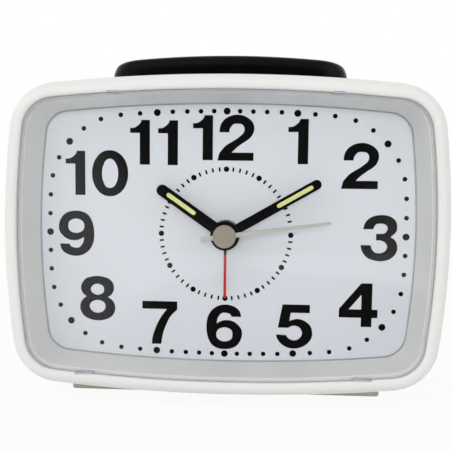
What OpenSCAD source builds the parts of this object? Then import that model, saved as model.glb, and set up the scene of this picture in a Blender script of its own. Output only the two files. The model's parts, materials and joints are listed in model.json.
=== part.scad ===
// Analog alarm clock, free-standing, as an assembly of separate sub-parts. All sizes in millimetres.
// World frame: +X right, +Z up, the dial looks toward -Y, the base rests on z = 0.
// Most modules are drawn in the dial frame: x right, y up, z toward the viewer, zero on the dial's face.

/* [Case outline] */
// Half of the case's greatest width
case_half_width = 65; // [62:0.5:70]
// Half of the case's greatest height
case_half_height = 47; // [46.5:0.25:50]
// Radius of the gently bowed left and right sides
side_bow_radius = 250; // [200:10:320]
// Radius of the gently bowed top and bottom
top_bow_radius = 500; // [420:10:600]
// Radius of the four corners
corner_radius = 14.5; // [14:0.5:18]

/* [Case depth] */
// Rim crest in front of the dial's face
rim_front = 15; // [14.5:0.1:16]
// Wall thickness of the case
case_wall = 2.25; // [2:0.05:2.5]
// How far the side draws in toward the rear
rear_draft = 1.7; // [1.2:0.1:2]
// Rear edge of the case behind the dial's face
case_rear = 36.5; // [36:0.1:37]
// Inset of the lens opening from the greatest outline
lens_inset = 5.5; // [5.2:0.1:5.7]
// Inset of the visible dial opening
dial_inset = 7.2; // [7:0.1:7.6]
// How far the base's underside lies below the case
foot_drop = 2.75; // [2.25:0.05:3.75]

/* [Lens and dial] */
// Level of the ledge that carries the lens
lens_seat = 12; // [11.5:0.1:12.2]
// Lens thickness at its edge
lens_thickness = 2; // [1.6:0.1:2.2]
// Rise of the lens's dome
lens_dome = 0.8; // [0.4:0.1:1]
// Clearance between the lens and its opening
lens_gap = 0.1; // [0.05:0.01:0.2]
// Width of a lens snap tab
tab_width = 3; // [2.5:0.1:3.5]
// Distance of the upper tabs from the middle
tab_top_x = 31.7; // [30:0.1:33]
// Distance of the lower tabs from the middle
tab_bottom_x = 40.6; // [39:0.1:42]
// Dial plate thickness
dial_thickness = 0.8; // [0.6:0.1:1]
// Radius of the hole through the dial
dial_hole = 4.5; // [4:0.1:4.8]
// Thickness of the carrier behind the dial
carrier_thickness = 3; // [2.8:0.1:3]

/* [Snooze bar] */
// Half length of the bar
bar_half_length = 37.8; // [34:0.1:40]
// Half depth of the bar
bar_half_depth = 12; // [11.5:0.1:12.5]
// Corner radius of the bar in plan
bar_corner = 10; // [8.5:0.5:10.5]
// Radius of the bar's bowed ends in plan
bar_end_bow = 60; // [40:5:90]
// Radius of the bar's bowed long sides in plan
bar_side_bow = 900; // [700:50:1200]
// Middle of the bar behind the dial's face
bar_back = 16; // [15.5:0.1:16.5]
// Top of the bar above the case's greatest height
bar_rise = 8.7; // [7.5:0.05:9]
// Radius of the bar's crown along its length
bar_crown = 340; // [280:5:400]
// Travel of the bar when pressed
bar_travel = 2; // [1.5:0.1:2]
// Clearance around the bar in the case
bar_gap = 0.4; // [0.3:0.05:0.5]
// Distance of the guide posts from the middle
post_x = 22; // [20:0.5:24]
// Radius of a guide post
post_radius = 2.2; // [2:0.1:2.4]
// Shelf that guides the posts below the case's greatest height
shelf_drop = 6.2; // [6:0.05:6.5]
// Thickness of the guide shelf
shelf_thickness = 1.6; // [1.4:0.1:1.8]

/* [Hands] */
// Length of the hour hand
hour_length = 25; // [23:0.5:27]
// Width of the hour hand
hour_width = 3.5; // [3:0.1:4]
// Length of the minute hand
minute_length = 32.5; // [30:0.5:34]
// Width of the minute hand
minute_width = 2.9; // [2.5:0.1:3.2]
// Length of the second hand
second_length = 31.5; // [29:0.5:33]
// Tail of the second hand
second_tail = 7; // [6:0.5:9]
// Length of the alarm hand
alarm_length = 19.5; // [18:0.5:21]
// Width of the alarm hand
alarm_width = 0.8; // [0.7:0.1:1.2]
// Thickness of each hand
hand_thickness = 0.5; // [0.4:0.05:0.6]
// Radius of the minute hand's hub
hub_radius = 4.35; // [4:0.05:4.6]
// Wall of the alarm hand's hub round its pipe
alarm_hub_wall = 0.35; // [0.3:0.05:1.1]
// Radius of the second hand's cap
cap_radius = 3.4; // [3:0.1:3.8]
// Turn of the hour hand from twelve, clockwise
hour_turn = 305; // [0:1:359]
// Turn of the minute hand
minute_turn = 60; // [0:1:359]
// Turn of the second hand
second_turn = 82; // [0:1:359]
// Turn of the alarm hand
alarm_turn = 180; // [0:1:359]

/* [Rear] */
// Thickness of the rear cover's wall
cover_wall = 2; // [1.9:0.05:2.2]
// Rear face behind the dial's face
cover_rear = 40.2; // [40:0.1:40.6]
// Radius of both setting knobs
knob_radius = 9; // [7.5:0.25:9.5]
// Thickness of the setting knobs
knob_thickness = 6; // [5:0.25:7]
// Gap between a knob and the rear face
knob_gap = 0.4; // [0.3:0.05:0.6]
// Flutes around a knob
knob_flutes = 20; // [16:1:24]
// Travel of the alarm switch
switch_travel = 4; // [3:0.5:4]

/* [Battery] */
// Radius of the battery, size AA
battery_radius = 7.25; // [7:0.05:7.25]
// Length of the battery's body without its button
battery_body = 49.2; // [48.8:0.1:49.4]
// Radius of the battery's button
button_radius = 2.75; // [2.5:0.05:2.8]
// Length of the battery's button
button_length = 1.3; // [1:0.1:1.4]
// Axis of the battery above the case's lowest edge
battery_lift = 15.55; // [15.4:0.05:15.7]

/* [Base] */
// Half width of the plinth
plinth_half_width = 48.3; // [44:0.1:50]
// Front of the plinth in front of the dial's face
plinth_front = 1; // [0:0.5:2]
// Rear of the plinth behind the dial's face
plinth_rear = 34; // [32:0.5:35]
// Corner radius of the plinth in plan
plinth_corner = 1.5; // [1:0.5:7]

/* [Fits] */
// Radial clearance of a turning or sliding fit
run_fit = 0.05; // [0.03:0.01:0.06]
// Radial clearance of a pressed piece
press_fit = 0.02; // [0.01:0.01:0.03]
// Clearance between neighbouring fixed pieces
rest_gap = 0.1; // [0.08:0.01:0.15]

/* [Hidden] */
$fn = 48;
eps = 0.01;

// Overall depth and the place of the dial's face in the world frame
knob_rear = cover_rear + knob_gap + knob_thickness;
depth = rim_front + knob_rear;
dial_y = -depth / 2 + rim_front;
dial_height = case_half_height + foot_drop;
module place() translate([0, dial_y, dial_height]) rotate([90, 0, 0]) children();

// Outline of eight tangent arcs: half width a, half height b, radii of sides, top and corners, steps per arc
function polar(r, a) = r * [cos(a), sin(a)];
function heading(v) = atan2(v[1], v[0]);
function arcs(a, b, rs, rt, rc, steps) = let (side = [a - rs, 0], top = [0, b - rt],
    ds = rs - rc, dt = rt - rc, span = norm(top - side), dir = (top - side) / span,
    along = (ds * ds - dt * dt + span * span) / (2 * span), across = sqrt(ds * ds - along * along),
    c1 = side + along * dir + across * [-dir[1], dir[0]],
    c2 = side + along * dir - across * [-dir[1], dir[0]],
    corner = c1[1] > c2[1] ? c1 : c2, turn_s = heading(corner - side), turn_t = heading(corner - top))
  [[side, rs, 0, turn_s, steps[0]], [corner, rc, turn_s, turn_t, steps[1]], [top, rt, turn_t, 90, steps[2]]];
// The outline's points, inset by d along the arcs' own normals
function inset_outline(o, d) = let (
    q = [for (c = o, k = [0 : c[4] - 1]) c[0] + polar(c[1] - d, c[2] + (c[3] - c[2]) * k / c[4])],
    n = len(q), top = o[2][0] + [0, o[2][1] - d])
  concat(q, [top], [for (k = [n - 1 : -1 : 1]) [-q[k][0], q[k][1]]], -q, [-top],
    [for (k = [n - 1 : -1 : 1]) [q[k][0], -q[k][1]]]);
case_arcs = arcs(case_half_width, case_half_height, side_bow_radius, top_bow_radius, corner_radius,
  [3, 11, 5]);
bar_arcs = arcs(bar_half_length, bar_half_depth, bar_end_bow, bar_side_bow, bar_corner, [1, 7, 7]);
function outline(d) = inset_outline(case_arcs, d);
function at_height(pts, h) = [for (p = pts) [p[0], p[1], h]];
function ring(d, h) = at_height(outline(d), h);

// Skin over rings of equal count; each ring runs counter-clockwise seen along the way the rings go
module skin(rings, closed = false, split = false, ribbon = false) {
  n = len(rings[0]);
  m = len(rings);
  quads = [for (j = [0 : closed ? m - 1 : m - 2], i = [0 : n - 1])
    [j * n + i, j * n + (i + 1) % n, ((j + 1) % m) * n + (i + 1) % n, ((j + 1) % m) * n + i]];
  sides = split ? [for (q = quads, t = [[q[0], q[1], q[2]], [q[0], q[2], q[3]]]) t] : quads;
  strips = [for (i = [0 : n / 2 - 1]) i == 0 ? [0, n - 1, 1] :
    i == n / 2 - 1 ? [i, i + 2, i + 1] : [i, n - i, n - i - 1, i + 1]];
  first = ribbon ? strips : [[for (i = [n - 1 : -1 : 0]) i]];
  caps = closed ? [] : concat(first, [[for (i = [0 : n - 1]) (m - 1) * n + i]]);
  polyhedron(points = [for (r = rings, p = r) p], faces = concat(sides, caps), convexity = 10);
}

// Tube along a smooth path through the given points
function spline_at(p, s) = let (n = len(p) - 1, i = min(floor(s), n - 1), t = s - i,
    a = p[max(i - 1, 0)], b = p[i], c = p[i + 1], d = p[min(i + 2, n)])
  0.5 * ((2 * b) + (c - a) * t + (2 * a - 5 * b + 4 * c - d) * t * t + (3 * b - a - 3 * c + d) * t * t * t);
function unit(v) = v / norm(v);
module tube_along(p, r, steps = 5, sides = 8) {
  n = (len(p) - 1) * steps;
  path = [for (k = [0 : n]) spline_at(p, k / steps)];
  rings = [for (k = [0 : n]) let (t = unit(path[min(k + 1, n)] - path[max(k - 1, 0)]),
      u = unit(cross([0.31, 0.17, 0.93], t)), v = cross(u, t))
    [for (j = [0 : sides - 1]) path[k] + r * (cos(360 * j / sides) * u + sin(360 * j / sides) * v)]];
  skin(rings, split = true);
}

// Coil wound upward from z = 0; its radius may change from one end to the other
module coil(r1, r2, length, turns, wire, steps = 12, sides = 6) {
  n = turns * steps;
  rings = [for (k = [0 : n]) let (a = 360 * k / steps, r = r1 + (r2 - r1) * k / n,
      z = wire + (length - 2 * wire) * k / n)
    [for (j = [0 : sides - 1]) let (q = 360 * j / sides, s = r + wire * cos(q))
      [s * cos(a), s * sin(a), z + wire * sin(q)]]];
  skin(rings, split = true);
}

module plate(h0, h1) translate([0, 0, min(h0, h1)]) linear_extrude(abs(h1 - h0)) children();
module rod(r, h0, h1) translate([0, 0, min(h0, h1)]) cylinder(r = r, h = abs(h1 - h0));
module box(x0, x1, y0, y1, z0, z1) translate([x0, y0, z0]) cube([x1 - x0, y1 - y0, z1 - z0]);
module at(p) translate([p[0], p[1], 0]) children();
module at_posts() for (sx = [-1, 1], sy = [-1, 1]) at([sx * post_p[0], sy * post_p[1]]) children();
module rounded(hw, hh, r) union() {
  square([2 * hw, 2 * (hh - r)], center = true);
  square([2 * (hw - r), 2 * hh], center = true);
  for (sx = [-1, 1], sy = [-1, 1]) translate([sx * (hw - r), sy * (hh - r)]) circle(r = r);
}
module slot(hw, r) union() {
  square([2 * (hw - r), 2 * r], center = true);
  for (s = [-1, 1]) translate([s * (hw - r), 0]) circle(r = r);
}

// Gear teeth: involute flanks drawn with three chords, thinned for backlash
pressure = 20;
addendum = 0.85;
dedendum = 1.2;
thinning = 0.2;
function involute(a) = tan(a) * 180 / PI - a;
function tooth_half(r, rp) = let (rb = rp * cos(pressure), m_half = involute(pressure))
  r <= rb ? m_half : m_half - involute(acos(rb / r));
function gear_points(z, m, phase) = let (rp = m * z / 2, rr = rp - dedendum * m, rb = rp * cos(pressure),
    radii = [rr, max(rb, rr + 0.25 * m), rp, rp + addendum * m],
    hp = (PI / 2 - thinning) * m / 2 / rp * 180 / PI)
  [for (k = [0 : z - 1], s = [-1, 1], q = [0 : 3]) let (r = radii[s < 0 ? q : 3 - q])
    polar(r, phase + 360 * k / z + s * (hp + tooth_half(r, rp)))];
module gear(z, m, phase) polygon(gear_points(z, m, phase));
// Turn of gear b so that it meshes with gear a; b lies in direction dir from a
function mesh_turn(turn_a, za, zb, dir) = dir + 180 + 180 / zb - (turn_a - dir) * za / zb;
module crossings(r_at, r_hole, count = 4) for (k = [0 : count - 1])
  rotate(360 * k / count + 45) translate([r_at, 0]) circle(r = r_hole);

// Tooth counts, fixed by the time ratios 30, 60 and 12
rotor_z = 10;
inter_z = 60;
inter_pin_z = 10;
sec_z = 50;
sec_pin_z = 8;
third_z = 60;
third_pin_z = 8;
center_z = 64;
cannon_z = 12;
minute_z = 36;
minute_pin_z = 10;
hour_z = 40;
alarm_z = 56;
alarm_pin_z = 14;
// Gear modules; the second of each pair follows from the shared centre distance
third_mod = 0.315;
sec_mod = 0.36;
rotor_mod = 0.30;
minute_mod = 0.45;
alarm_mod = 0.45;
third_dist = third_mod * (sec_pin_z + third_z) / 2;
center_mod = 2 * third_dist / (third_pin_z + center_z);
inter_dist = sec_mod * (inter_pin_z + sec_z) / 2;
rotor_dist = rotor_mod * (rotor_z + inter_z) / 2;
minute_dist = minute_mod * (cannon_z + minute_z) / 2;
hour_mod = 2 * minute_dist / (minute_pin_z + hour_z);
alarm_dist = alarm_mod * (alarm_pin_z + alarm_z) / 2;
// Directions and places of the axes, seen from the front
third_dir = 150;
inter_dir = 40;
rotor_dir = 10;
minute_dir = 230;
time_dir = 175;
alarm_dir = 330;
third_p = polar(third_dist, third_dir);
inter_p = polar(inter_dist, inter_dir);
rotor_p = inter_p + polar(rotor_dist, rotor_dir);
minute_p = polar(minute_dist, minute_dir);
time_p = minute_p + polar(minute_dist, time_dir);
alarm_p = polar(alarm_dist, alarm_dir);
// Turns that bring the teeth into mesh
inter_turn = mesh_turn(0, rotor_z, inter_z, rotor_dir + 180);
sec_turn = mesh_turn(0, inter_pin_z, sec_z, inter_dir + 180);
third_turn = mesh_turn(0, sec_pin_z, third_z, third_dir);
center_turn = mesh_turn(0, third_pin_z, center_z, third_dir + 180);
minute_wheel_turn = mesh_turn(0, cannon_z, minute_z, minute_dir);
hour_wheel_turn = mesh_turn(0, minute_pin_z, hour_z, minute_dir + 180);
time_turn = mesh_turn(minute_wheel_turn, minute_z, cannon_z, time_dir);
alarm_pin_turn = mesh_turn(0, alarm_z, alarm_pin_z, alarm_dir);

// Radii of the coaxial pipes, each running in the next
arbor_r = 0.6;
pipe_wall = 0.75;
pipe_bore = arbor_r + run_fit;
pipe_r = pipe_bore + pipe_wall;
hour_bore = pipe_r + run_fit;
hour_tube = hour_bore + 0.85;
alarm_bore = hour_tube + run_fit;
alarm_tube = alarm_bore + 0.85;
stud_r = 0.8;
time_shaft_r = 2.5;
time_neck_r = 1.5;
alarm_shaft_r = 2;
set_pivot_r = 1;

// Levels through the movement, measured behind the dial's face
wheel_t = 1;
frame_front = -dial_thickness - carrier_thickness;
frame_back = frame_front - 2;
l_alarm = frame_back - 0.4;
l_hour = l_alarm - 2;
l_minute = l_hour - 2.1;
bridge_front = l_minute - 1.6;
bridge_back = bridge_front - 1;
l_center = bridge_back - 0.5;
l_third = l_center - 3;
l_second = l_third - 2;
l_inter = l_second - 2;
back_front = l_inter - 2;
back_rear = back_front - 1.8;
shell_split = bridge_back - 0.6;

// Movement housing, seen from the front
mv_x0 = -28.5;
mv_x1 = 30.5;
mv_y0 = -21.5;
mv_y1 = 27;
mv_wall = 1.5;
pillar_r = 2.4;
pillars = [[-24.8, -17.8], [-24.8, 23.3], [26.8, -17.8], [26.8, 23.3]];
screw_r = 1;
screw_hole = 1.2;
pcb_front = back_front + 1.6;
pcb_t = 1;
pcb_back = pcb_front - pcb_t;
pcb = [-21, -4, 12, 25];
switch_p = [-14.5, 18];
stem_w = 3;
stem_h = 2;

// Coil and stator
coil_y = 19;
stator_t = 0.8;
stator_top = l_third + 0.1;
core_t = 0.8;
core_half = 1.5;
coil_h = stator_top + core_t / 2;
leg_l = 3.5;
leg_r = 28.5;
leg_w = 3;

// Case posts, rear cover and its contents
post_p = [46, 26];
post_r = 3.6;
post_rear = -35.5;
case_screw_r = 1.2;
cover_front = -cover_rear + cover_wall;
bay_room = 5;
bay_hw = battery_body / 2 + bay_room;
bay_hh = 7.55;
bay_wall = 1.2;
battery_y = battery_lift - case_half_height;
door_t = 1;
door_rib = 0.8;
door_hw = 31.5;
door_hh = 8.3;
door_gap = 0.2;
hinge_y = -door_hh + door_t / 2;
hinge_r = door_t / 2 - 0.05;
battery_h = -cover_rear + door_t + door_rib + rest_gap + battery_radius;
bay_front = battery_h + battery_radius + 0.3;
battery_shift = 0.3;
battery_x0 = -battery_body / 2 + battery_shift;
battery_x1 = battery_x0 + battery_body;
tail_w = 3;
strip_t = 0.4;
bay_end = bay_hw - rest_gap;
buzzer_p = [14, 20];
buzzer_r = 13.6;
buzzer_seat = cover_front + 1.5;
disc_t = 0.4;
ceramic_t = 0.3;

// Rest of the levels in front of the dial
h_alarm = 2;
h_hour = 4.2;
h_minute = 6.2;
h_second = 8.4;
cap_t = 1;
lume_t = 0.12;

// Case shell with rim, lens rebate and the tunnel down to the dial, one closed wall section
rim_flat = lens_seat + lens_thickness;
rim_mid = rim_front - 7;
ledge_inset = lens_inset + 0.8;
tunnel_wall = 1.5;
shell_section = [[ledge_inset, lens_seat], [lens_inset, lens_seat], [lens_inset, rim_flat + 0.2],
  [lens_inset - 0.4, rim_front - 0.25], [lens_inset - 1.3, rim_front], [lens_inset - 2.5, rim_front - 0.3],
  [1.8, rim_front - 1.1], [0.8, rim_front - 2.6], [0.2, rim_front - 4.6], [0, rim_mid], [0.15, 0],
  [rear_draft, -case_rear], [rear_draft + case_wall, -case_rear], [0.15 + case_wall, 0],
  [case_wall + 0.15, rim_mid], [3, rim_front - 4.7], [lens_inset - 0.6, rim_front - 4.4],
  [dial_inset - tunnel_wall, 0], [dial_inset, 0]];
module bar_plan(grow) polygon(inset_outline(bar_arcs, -grow));
peg_x = 30;
peg_back = 18;
peg_r = 2;
module tab_blocks(w, out, h0, h1) {
  for (s = [-1, 1]) {
    at([s * tab_top_x, outline_y(tab_top_x)]) box(-w / 2, w / 2, -1, out, h0, h1);
    at([s * tab_bottom_x, -outline_y(tab_bottom_x)]) box(-w / 2, w / 2, -out, 1, h0, h1);
  }
}
// Height of the lens opening's edge at a distance x from the middle
function outline_y(x) = case_half_height - top_bow_radius + sqrt(pow(top_bow_radius - lens_inset, 2) - x * x);
module upright(back) translate([0, 0, -back]) rotate([-90, 0, 0]) children();

module front_case() color([0.93, 0.93, 0.91]) place() difference() {
  skin([for (p = shell_section) ring(p[0], p[1])], closed = true);
  upright(bar_back) translate([0, 0, bar_bottom - 13]) linear_extrude(20) bar_plan(bar_gap);
  for (s = [-1, 1]) translate([s * peg_x, 0, 0]) upright(peg_back) rod(peg_r + press_fit, -dial_height, 7 - case_half_height);
  tab_blocks(tab_width + 0.2, 0.8, lens_seat, rim_front + 1);
}

lens_scale = [0.1, 0.35, 0.6, 0.82];
function lens_ring(s, h) =
  at_height([for (p = outline(lens_inset + lens_gap)) s * p], h + lens_dome * (1 - s * s));
module lens() color([0.9, 0.95, 0.97, 0.35]) place() union() {
  skin(concat([for (s = lens_scale) lens_ring(s, rim_flat)],
    [ring(lens_inset + lens_gap + 0.3, rim_flat), ring(lens_inset + lens_gap, rim_flat - 0.3),
     ring(lens_inset + lens_gap, lens_seat)],
    [for (k = [len(lens_scale) - 1 : -1 : 0]) lens_ring(lens_scale[k], lens_seat)]));
  tab_blocks(tab_width, 0.5, lens_seat + 0.2, rim_flat - 0.4);
}

module dial_plate() color([0.86, 0.86, 0.85]) place() difference() {
  plate(-dial_thickness, 0) polygon(outline(dial_inset - 2));
  rod(dial_hole, -2, 1);
}

shelf_half = bar_half_length + 2;
shelf_rear = -bar_back - bar_half_depth - 2;
module dial_carrier() color([0.2, 0.21, 0.22]) place() difference() {
  union() {
    plate(frame_front, -dial_thickness) difference() {
      polygon(outline(dial_inset - 1.6));
      translate([-shelf_half, shelf_top]) square([2 * shelf_half, 10]);
      for (s = [-1, 1]) {
        translate([s * 46, 0]) rounded(5, 15, 3);
        translate([s * 19, 33]) rounded(11, 3, 2);
        translate([s * 19, -31]) rounded(13, 5, 2);
      }
    }
    box(-shelf_half, shelf_half, shelf_top - shelf_thickness, shelf_top, shelf_rear, frame_front + eps);
    for (s = [-1, 1]) translate([s * (shelf_half - 1), 0, 0]) rotate([0, 90, 0]) plate(-0.8, 0.8)
      polygon([[-frame_front, shelf_top - shelf_thickness + eps], [-frame_front, shelf_top - 11],
        [-shelf_rear - 2, shelf_top - shelf_thickness + eps]]);
    at_posts() rod(post_r, post_rear, frame_front + eps);
  }
  rod(5, -10, 1);
  for (p = pillars) at(p) rod(screw_r + press_fit, frame_front - 1, frame_front + 2.4);
  at_posts() rod(case_screw_r + press_fit, post_rear - 1, post_rear + 12);
  upright(bar_back) {
    for (s = [-1, 1]) translate([s * post_x, 0, 0]) rod(post_radius + run_fit, shelf_top - 11, shelf_top + 9);
    rod(stem_r + 0.4, shelf_top - 11, shelf_top + 9);
  }
}

module base_plinth() color([0.78, 0.77, 0.74]) place() union() {
  difference() {
    translate([0, 0, (plinth_front - plinth_rear) / 2]) rotate([-90, 0, 0])
      plate(-dial_height, -dial_height + 10)
      rounded(plinth_half_width, (plinth_front + plinth_rear) / 2, plinth_corner);
    skin([ring(-rest_gap, rim_mid), ring(0.15 - rest_gap, 0), ring(rear_draft - rest_gap, -case_rear)]);
  }
  for (s = [-1, 1]) translate([s * peg_x, 0, 0]) upright(peg_back) rod(peg_r, -dial_height + 1, 5.5 - case_half_height);
}

// Rear cover: a shallow lofted dish with lip, then bay, bosses and openings
lip_inset = rear_draft + case_wall + 0.15;
cover_section = [[lip_inset + 1.5, cover_front], [lip_inset + 1.5, -case_rear + 3],
  [lip_inset, -case_rear + 3], [lip_inset, -case_rear], [rear_draft, -case_rear],
  [rear_draft + 0.1, -case_rear - 1.7], [rear_draft + 0.7, -cover_rear + 0.9],
  [rear_draft + 1.9, -cover_rear + 0.2], [rear_draft + 3.5, -cover_rear]];
module slots() for (k = [-2 : 2]) translate([0, 4.2 * k]) slot(9.5 - 1.4 * abs(k), 0.9);
module rear_cover() color([0.9, 0.9, 0.88]) place() difference() {
  union() {
    skin([for (p = cover_section) ring(p[0], p[1])]);
    translate([0, battery_y, 0]) box(-bay_hw - bay_wall, bay_hw + bay_wall, -bay_hh - bay_wall,
      bay_hh + bay_wall, cover_front - eps, bay_front + bay_wall);
    at_posts() rod(4.2, cover_front - eps, post_rear - rest_gap);
    at(buzzer_p) rod(buzzer_r + 1.6, cover_front - eps, cover_front + 4);
  }
  translate([0, battery_y, 0]) {
    box(-bay_hw, bay_hw, -bay_hh, bay_hh, -cover_rear - 1, bay_front);
    box(-door_hw - door_gap, door_hw + door_gap, -door_hh - door_gap, door_hh + door_gap,
      -cover_rear - 1, -cover_rear + door_t);
    translate([0, door_hh, 0]) rod(6, -cover_rear - 1, -cover_rear + 0.6);
    for (s = [-1, 1]) translate([s * (bay_end - strip_t / 2), 0, 0])
      box(-strip_t / 2 - rest_gap, strip_t / 2 + rest_gap, -tail_w / 2 - rest_gap, tail_w / 2 + rest_gap,
        bay_front - 1, bay_front + 3);
  }
  at_posts() {
    rod(1.5, -cover_rear - 1, 0);
    rod(3, -cover_rear - 1, -cover_rear + 2.6);
  }
  at(buzzer_p) {
    rod(buzzer_r + rest_gap, buzzer_seat, 0);
    rod(buzzer_r - 1.1, cover_front, 0);
    plate(-cover_rear - 1, cover_front + 1) slots();
  }
  at(time_p) rod(time_shaft_r + 0.3, -cover_rear - 1, 0);
  at(alarm_p) rod(alarm_shaft_r + 0.3, -cover_rear - 1, 0);
  at(switch_p) plate(-cover_rear - 1, 0) rounded(switch_travel / 2 + 3.2, 2, 0.6);
}

module case_screws() color([0.75, 0.75, 0.77]) place() at_posts() difference() {
  union() {
    rod(2.6, -cover_rear + 1, -cover_rear + 2.6);
    rod(case_screw_r, -cover_rear + 2.5, -cover_rear + 14);
  }
  for (a = [0, 90]) rotate(a) box(-1.5, 1.5, -0.3, 0.3, -cover_rear, -cover_rear + 1.8);
}

// Snooze bar in a frame with z up; the crowned top is closed by a ribbon of cross strips
bar_top = case_half_height + bar_rise;
bar_skirt = 12.5;
shelf_top = case_half_height - shelf_drop;
bar_section = [[7, 0], [4, 0.08], [2.2, 0.38], [1.05, 1.05], [0.33, 2.4], [0, 3.9], [0, bar_skirt]];
bar_bottom = bar_top - bar_skirt;
stem_r = 1.5;
function bar_level(drop, x) = bar_top - drop - (drop < 11 ? x * x / (2 * bar_crown) : 0);
function bar_ring(d, drop) = [for (p = inset_outline(bar_arcs, d)) [p[0], p[1], bar_level(drop, p[0])]];
module bar_frame() translate([0, dial_y + bar_back, dial_height]) children();
module snooze_bar() color([0.04, 0.045, 0.045]) bar_frame() union() {
  difference() {
    skin([for (s = bar_section) bar_ring(s[0], s[1])], split = true, ribbon = true);
    plate(bar_bottom - 1, bar_bottom + 7.3)
      rounded(bar_half_length - 3.5, bar_half_depth - 3, bar_corner - 3.5);
  }
  for (s = [-1, 1]) translate([s * post_x, 0, 0]) rod(post_radius, bar_bottom - 7.2, bar_bottom + 7.4);
  rod(stem_r, leaf_y + leaf_t + 0.05, bar_bottom + 7.4);
}

spring_wire = 0.35;
spring_r = 3.2;
spring_turns = 5;
spring_len = bar_bottom + 7.3 - shelf_top - 0.1;
echo(snooze_spring_gap = (spring_len - 2 * spring_wire) / spring_turns - 2 * spring_wire);
module snooze_springs() color([0.7, 0.7, 0.72]) bar_frame() for (s = [-1, 1])
  translate([s * post_x, 0, shelf_top + 0.05])
  coil(spring_r, spring_r, spring_len, spring_turns, spring_wire);

module snooze_clips() color([0.7, 0.7, 0.72]) bar_frame() for (s = [-1, 1]) translate([s * post_x, 0, 0])
  difference() {
    rod(4.2, shelf_top - shelf_thickness - 0.82, shelf_top - shelf_thickness - 0.02);
    rod(post_radius + press_fit, shelf_top - 11, shelf_top + 9);
  }

leaf_t = 0.2;
leaf_y = 30.75;
leaf_x = -12;
module snooze_contact() color([0.85, 0.75, 0.45]) place() {
  box(leaf_x, 3, leaf_y, leaf_y + leaf_t, -bar_back - 1.5, -bar_back + 1.5);
  box(leaf_x, leaf_x + leaf_t, 23.6, leaf_y + eps, -bar_back - 1.5, -bar_back + 1.5);
  box(leaf_x, leaf_x + leaf_t, 23.6, 24.8, pcb_front, -bar_back - 1.5 + eps);
}

// Hands point to twelve before they are turned
module turned(a) rotate(-a) children();
module blade(w, len, from) translate([0, from]) union() {
  translate([-w / 2, 0]) square([w, len - from - w / 2]);
  translate([0, len - from - w / 2]) circle(r = w / 2);
}
module second_hand() color([0.72, 0.71, 0.68]) place() turned(second_turn) difference() {
  union() {
    plate(h_second, h_second + hand_thickness) polygon([[-0.65, -second_tail], [0.65, -second_tail],
      [0.75, 0], [0.45, second_length], [-0.45, second_length], [-0.75, 0]]);
    rod(cap_radius, h_second, h_second + cap_t);
  }
  rod(arbor_r + press_fit, h_second - 1, h_second + hand_thickness);
}
module minute_hand() color([0.05, 0.05, 0.05]) place() turned(minute_turn)
  plate(h_minute, h_minute + hand_thickness) difference() {
    union() {
      blade(minute_width, minute_length, 0);
      circle(r = hub_radius);
    }
    circle(r = pipe_r + press_fit);
  }
module minute_lume() color([0.82, 0.85, 0.5]) place() turned(minute_turn)
  plate(h_minute + hand_thickness, h_minute + hand_thickness + lume_t)
  translate([-0.63, minute_length - 14.7]) square([1.25, 12.1]);
module hour_hand() color([0.05, 0.05, 0.05]) place() turned(hour_turn)
  plate(h_hour, h_hour + hand_thickness) difference() {
    union() {
      blade(hour_width, hour_length, 0);
      circle(r = hub_radius);
    }
    circle(r = hour_tube + press_fit);
  }
module hour_lume() color([0.82, 0.85, 0.5]) place() turned(hour_turn)
  plate(h_hour + hand_thickness, h_hour + hand_thickness + lume_t)
  translate([-0.65, hour_length - 14]) square([1.3, 10.5]);
module alarm_hand() color([0.68, 0.22, 0.18]) place() turned(alarm_turn)
  plate(h_alarm, h_alarm + hand_thickness) difference() {
    union() {
      translate([-alarm_width / 2, 0]) square([alarm_width, alarm_length]);
      circle(r = alarm_tube + alarm_hub_wall);
    }
    circle(r = alarm_tube + press_fit);
  }

// Movement housing
module mv_rect(inset) translate([mv_x0 + inset, mv_y0 + inset])
  square([mv_x1 - mv_x0 - 2 * inset, mv_y1 - mv_y0 - 2 * inset]);
pivots = [third_p, inter_p, rotor_p];
module movement_frame() color([0.82, 0.83, 0.82]) place() difference() {
  union() {
    plate(frame_back, frame_front) mv_rect(0);
    plate(shell_split, frame_back + eps) difference() { mv_rect(0); mv_rect(mv_wall); }
    for (p = pillars) at(p) rod(pillar_r, bridge_front, frame_back + eps);
  }
  rod(alarm_tube + run_fit, frame_back - 1, 1);
  for (p = [time_p, alarm_p]) at(p) rod(set_pivot_r + run_fit, frame_back - 1, frame_back + 1.2);
  for (p = pillars) at(p) rod(screw_hole, -30, 1);
}
module movement_bridge() color([0.75, 0.76, 0.74]) place() difference() {
  union() {
    plate(bridge_back, bridge_front) mv_rect(mv_wall + 0.2);
    at(minute_p) rod(stud_r, bridge_back, l_hour + 0.4);
  }
  rod(pipe_r + run_fit, -40, 0);
  for (p = pivots) at(p) rod(arbor_r + run_fit, -40, 0);
  at(time_p) rod(time_shaft_r + run_fit, -40, 0);
  at(alarm_p) rod(alarm_shaft_r + run_fit, -40, 0);
  for (p = pillars) at(p) rod(screw_hole, -40, 0);
  box(pcb[0] + 6.8, pcb[0] + 11.2, 19.4, 20.7, -40, 0);
}
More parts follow.
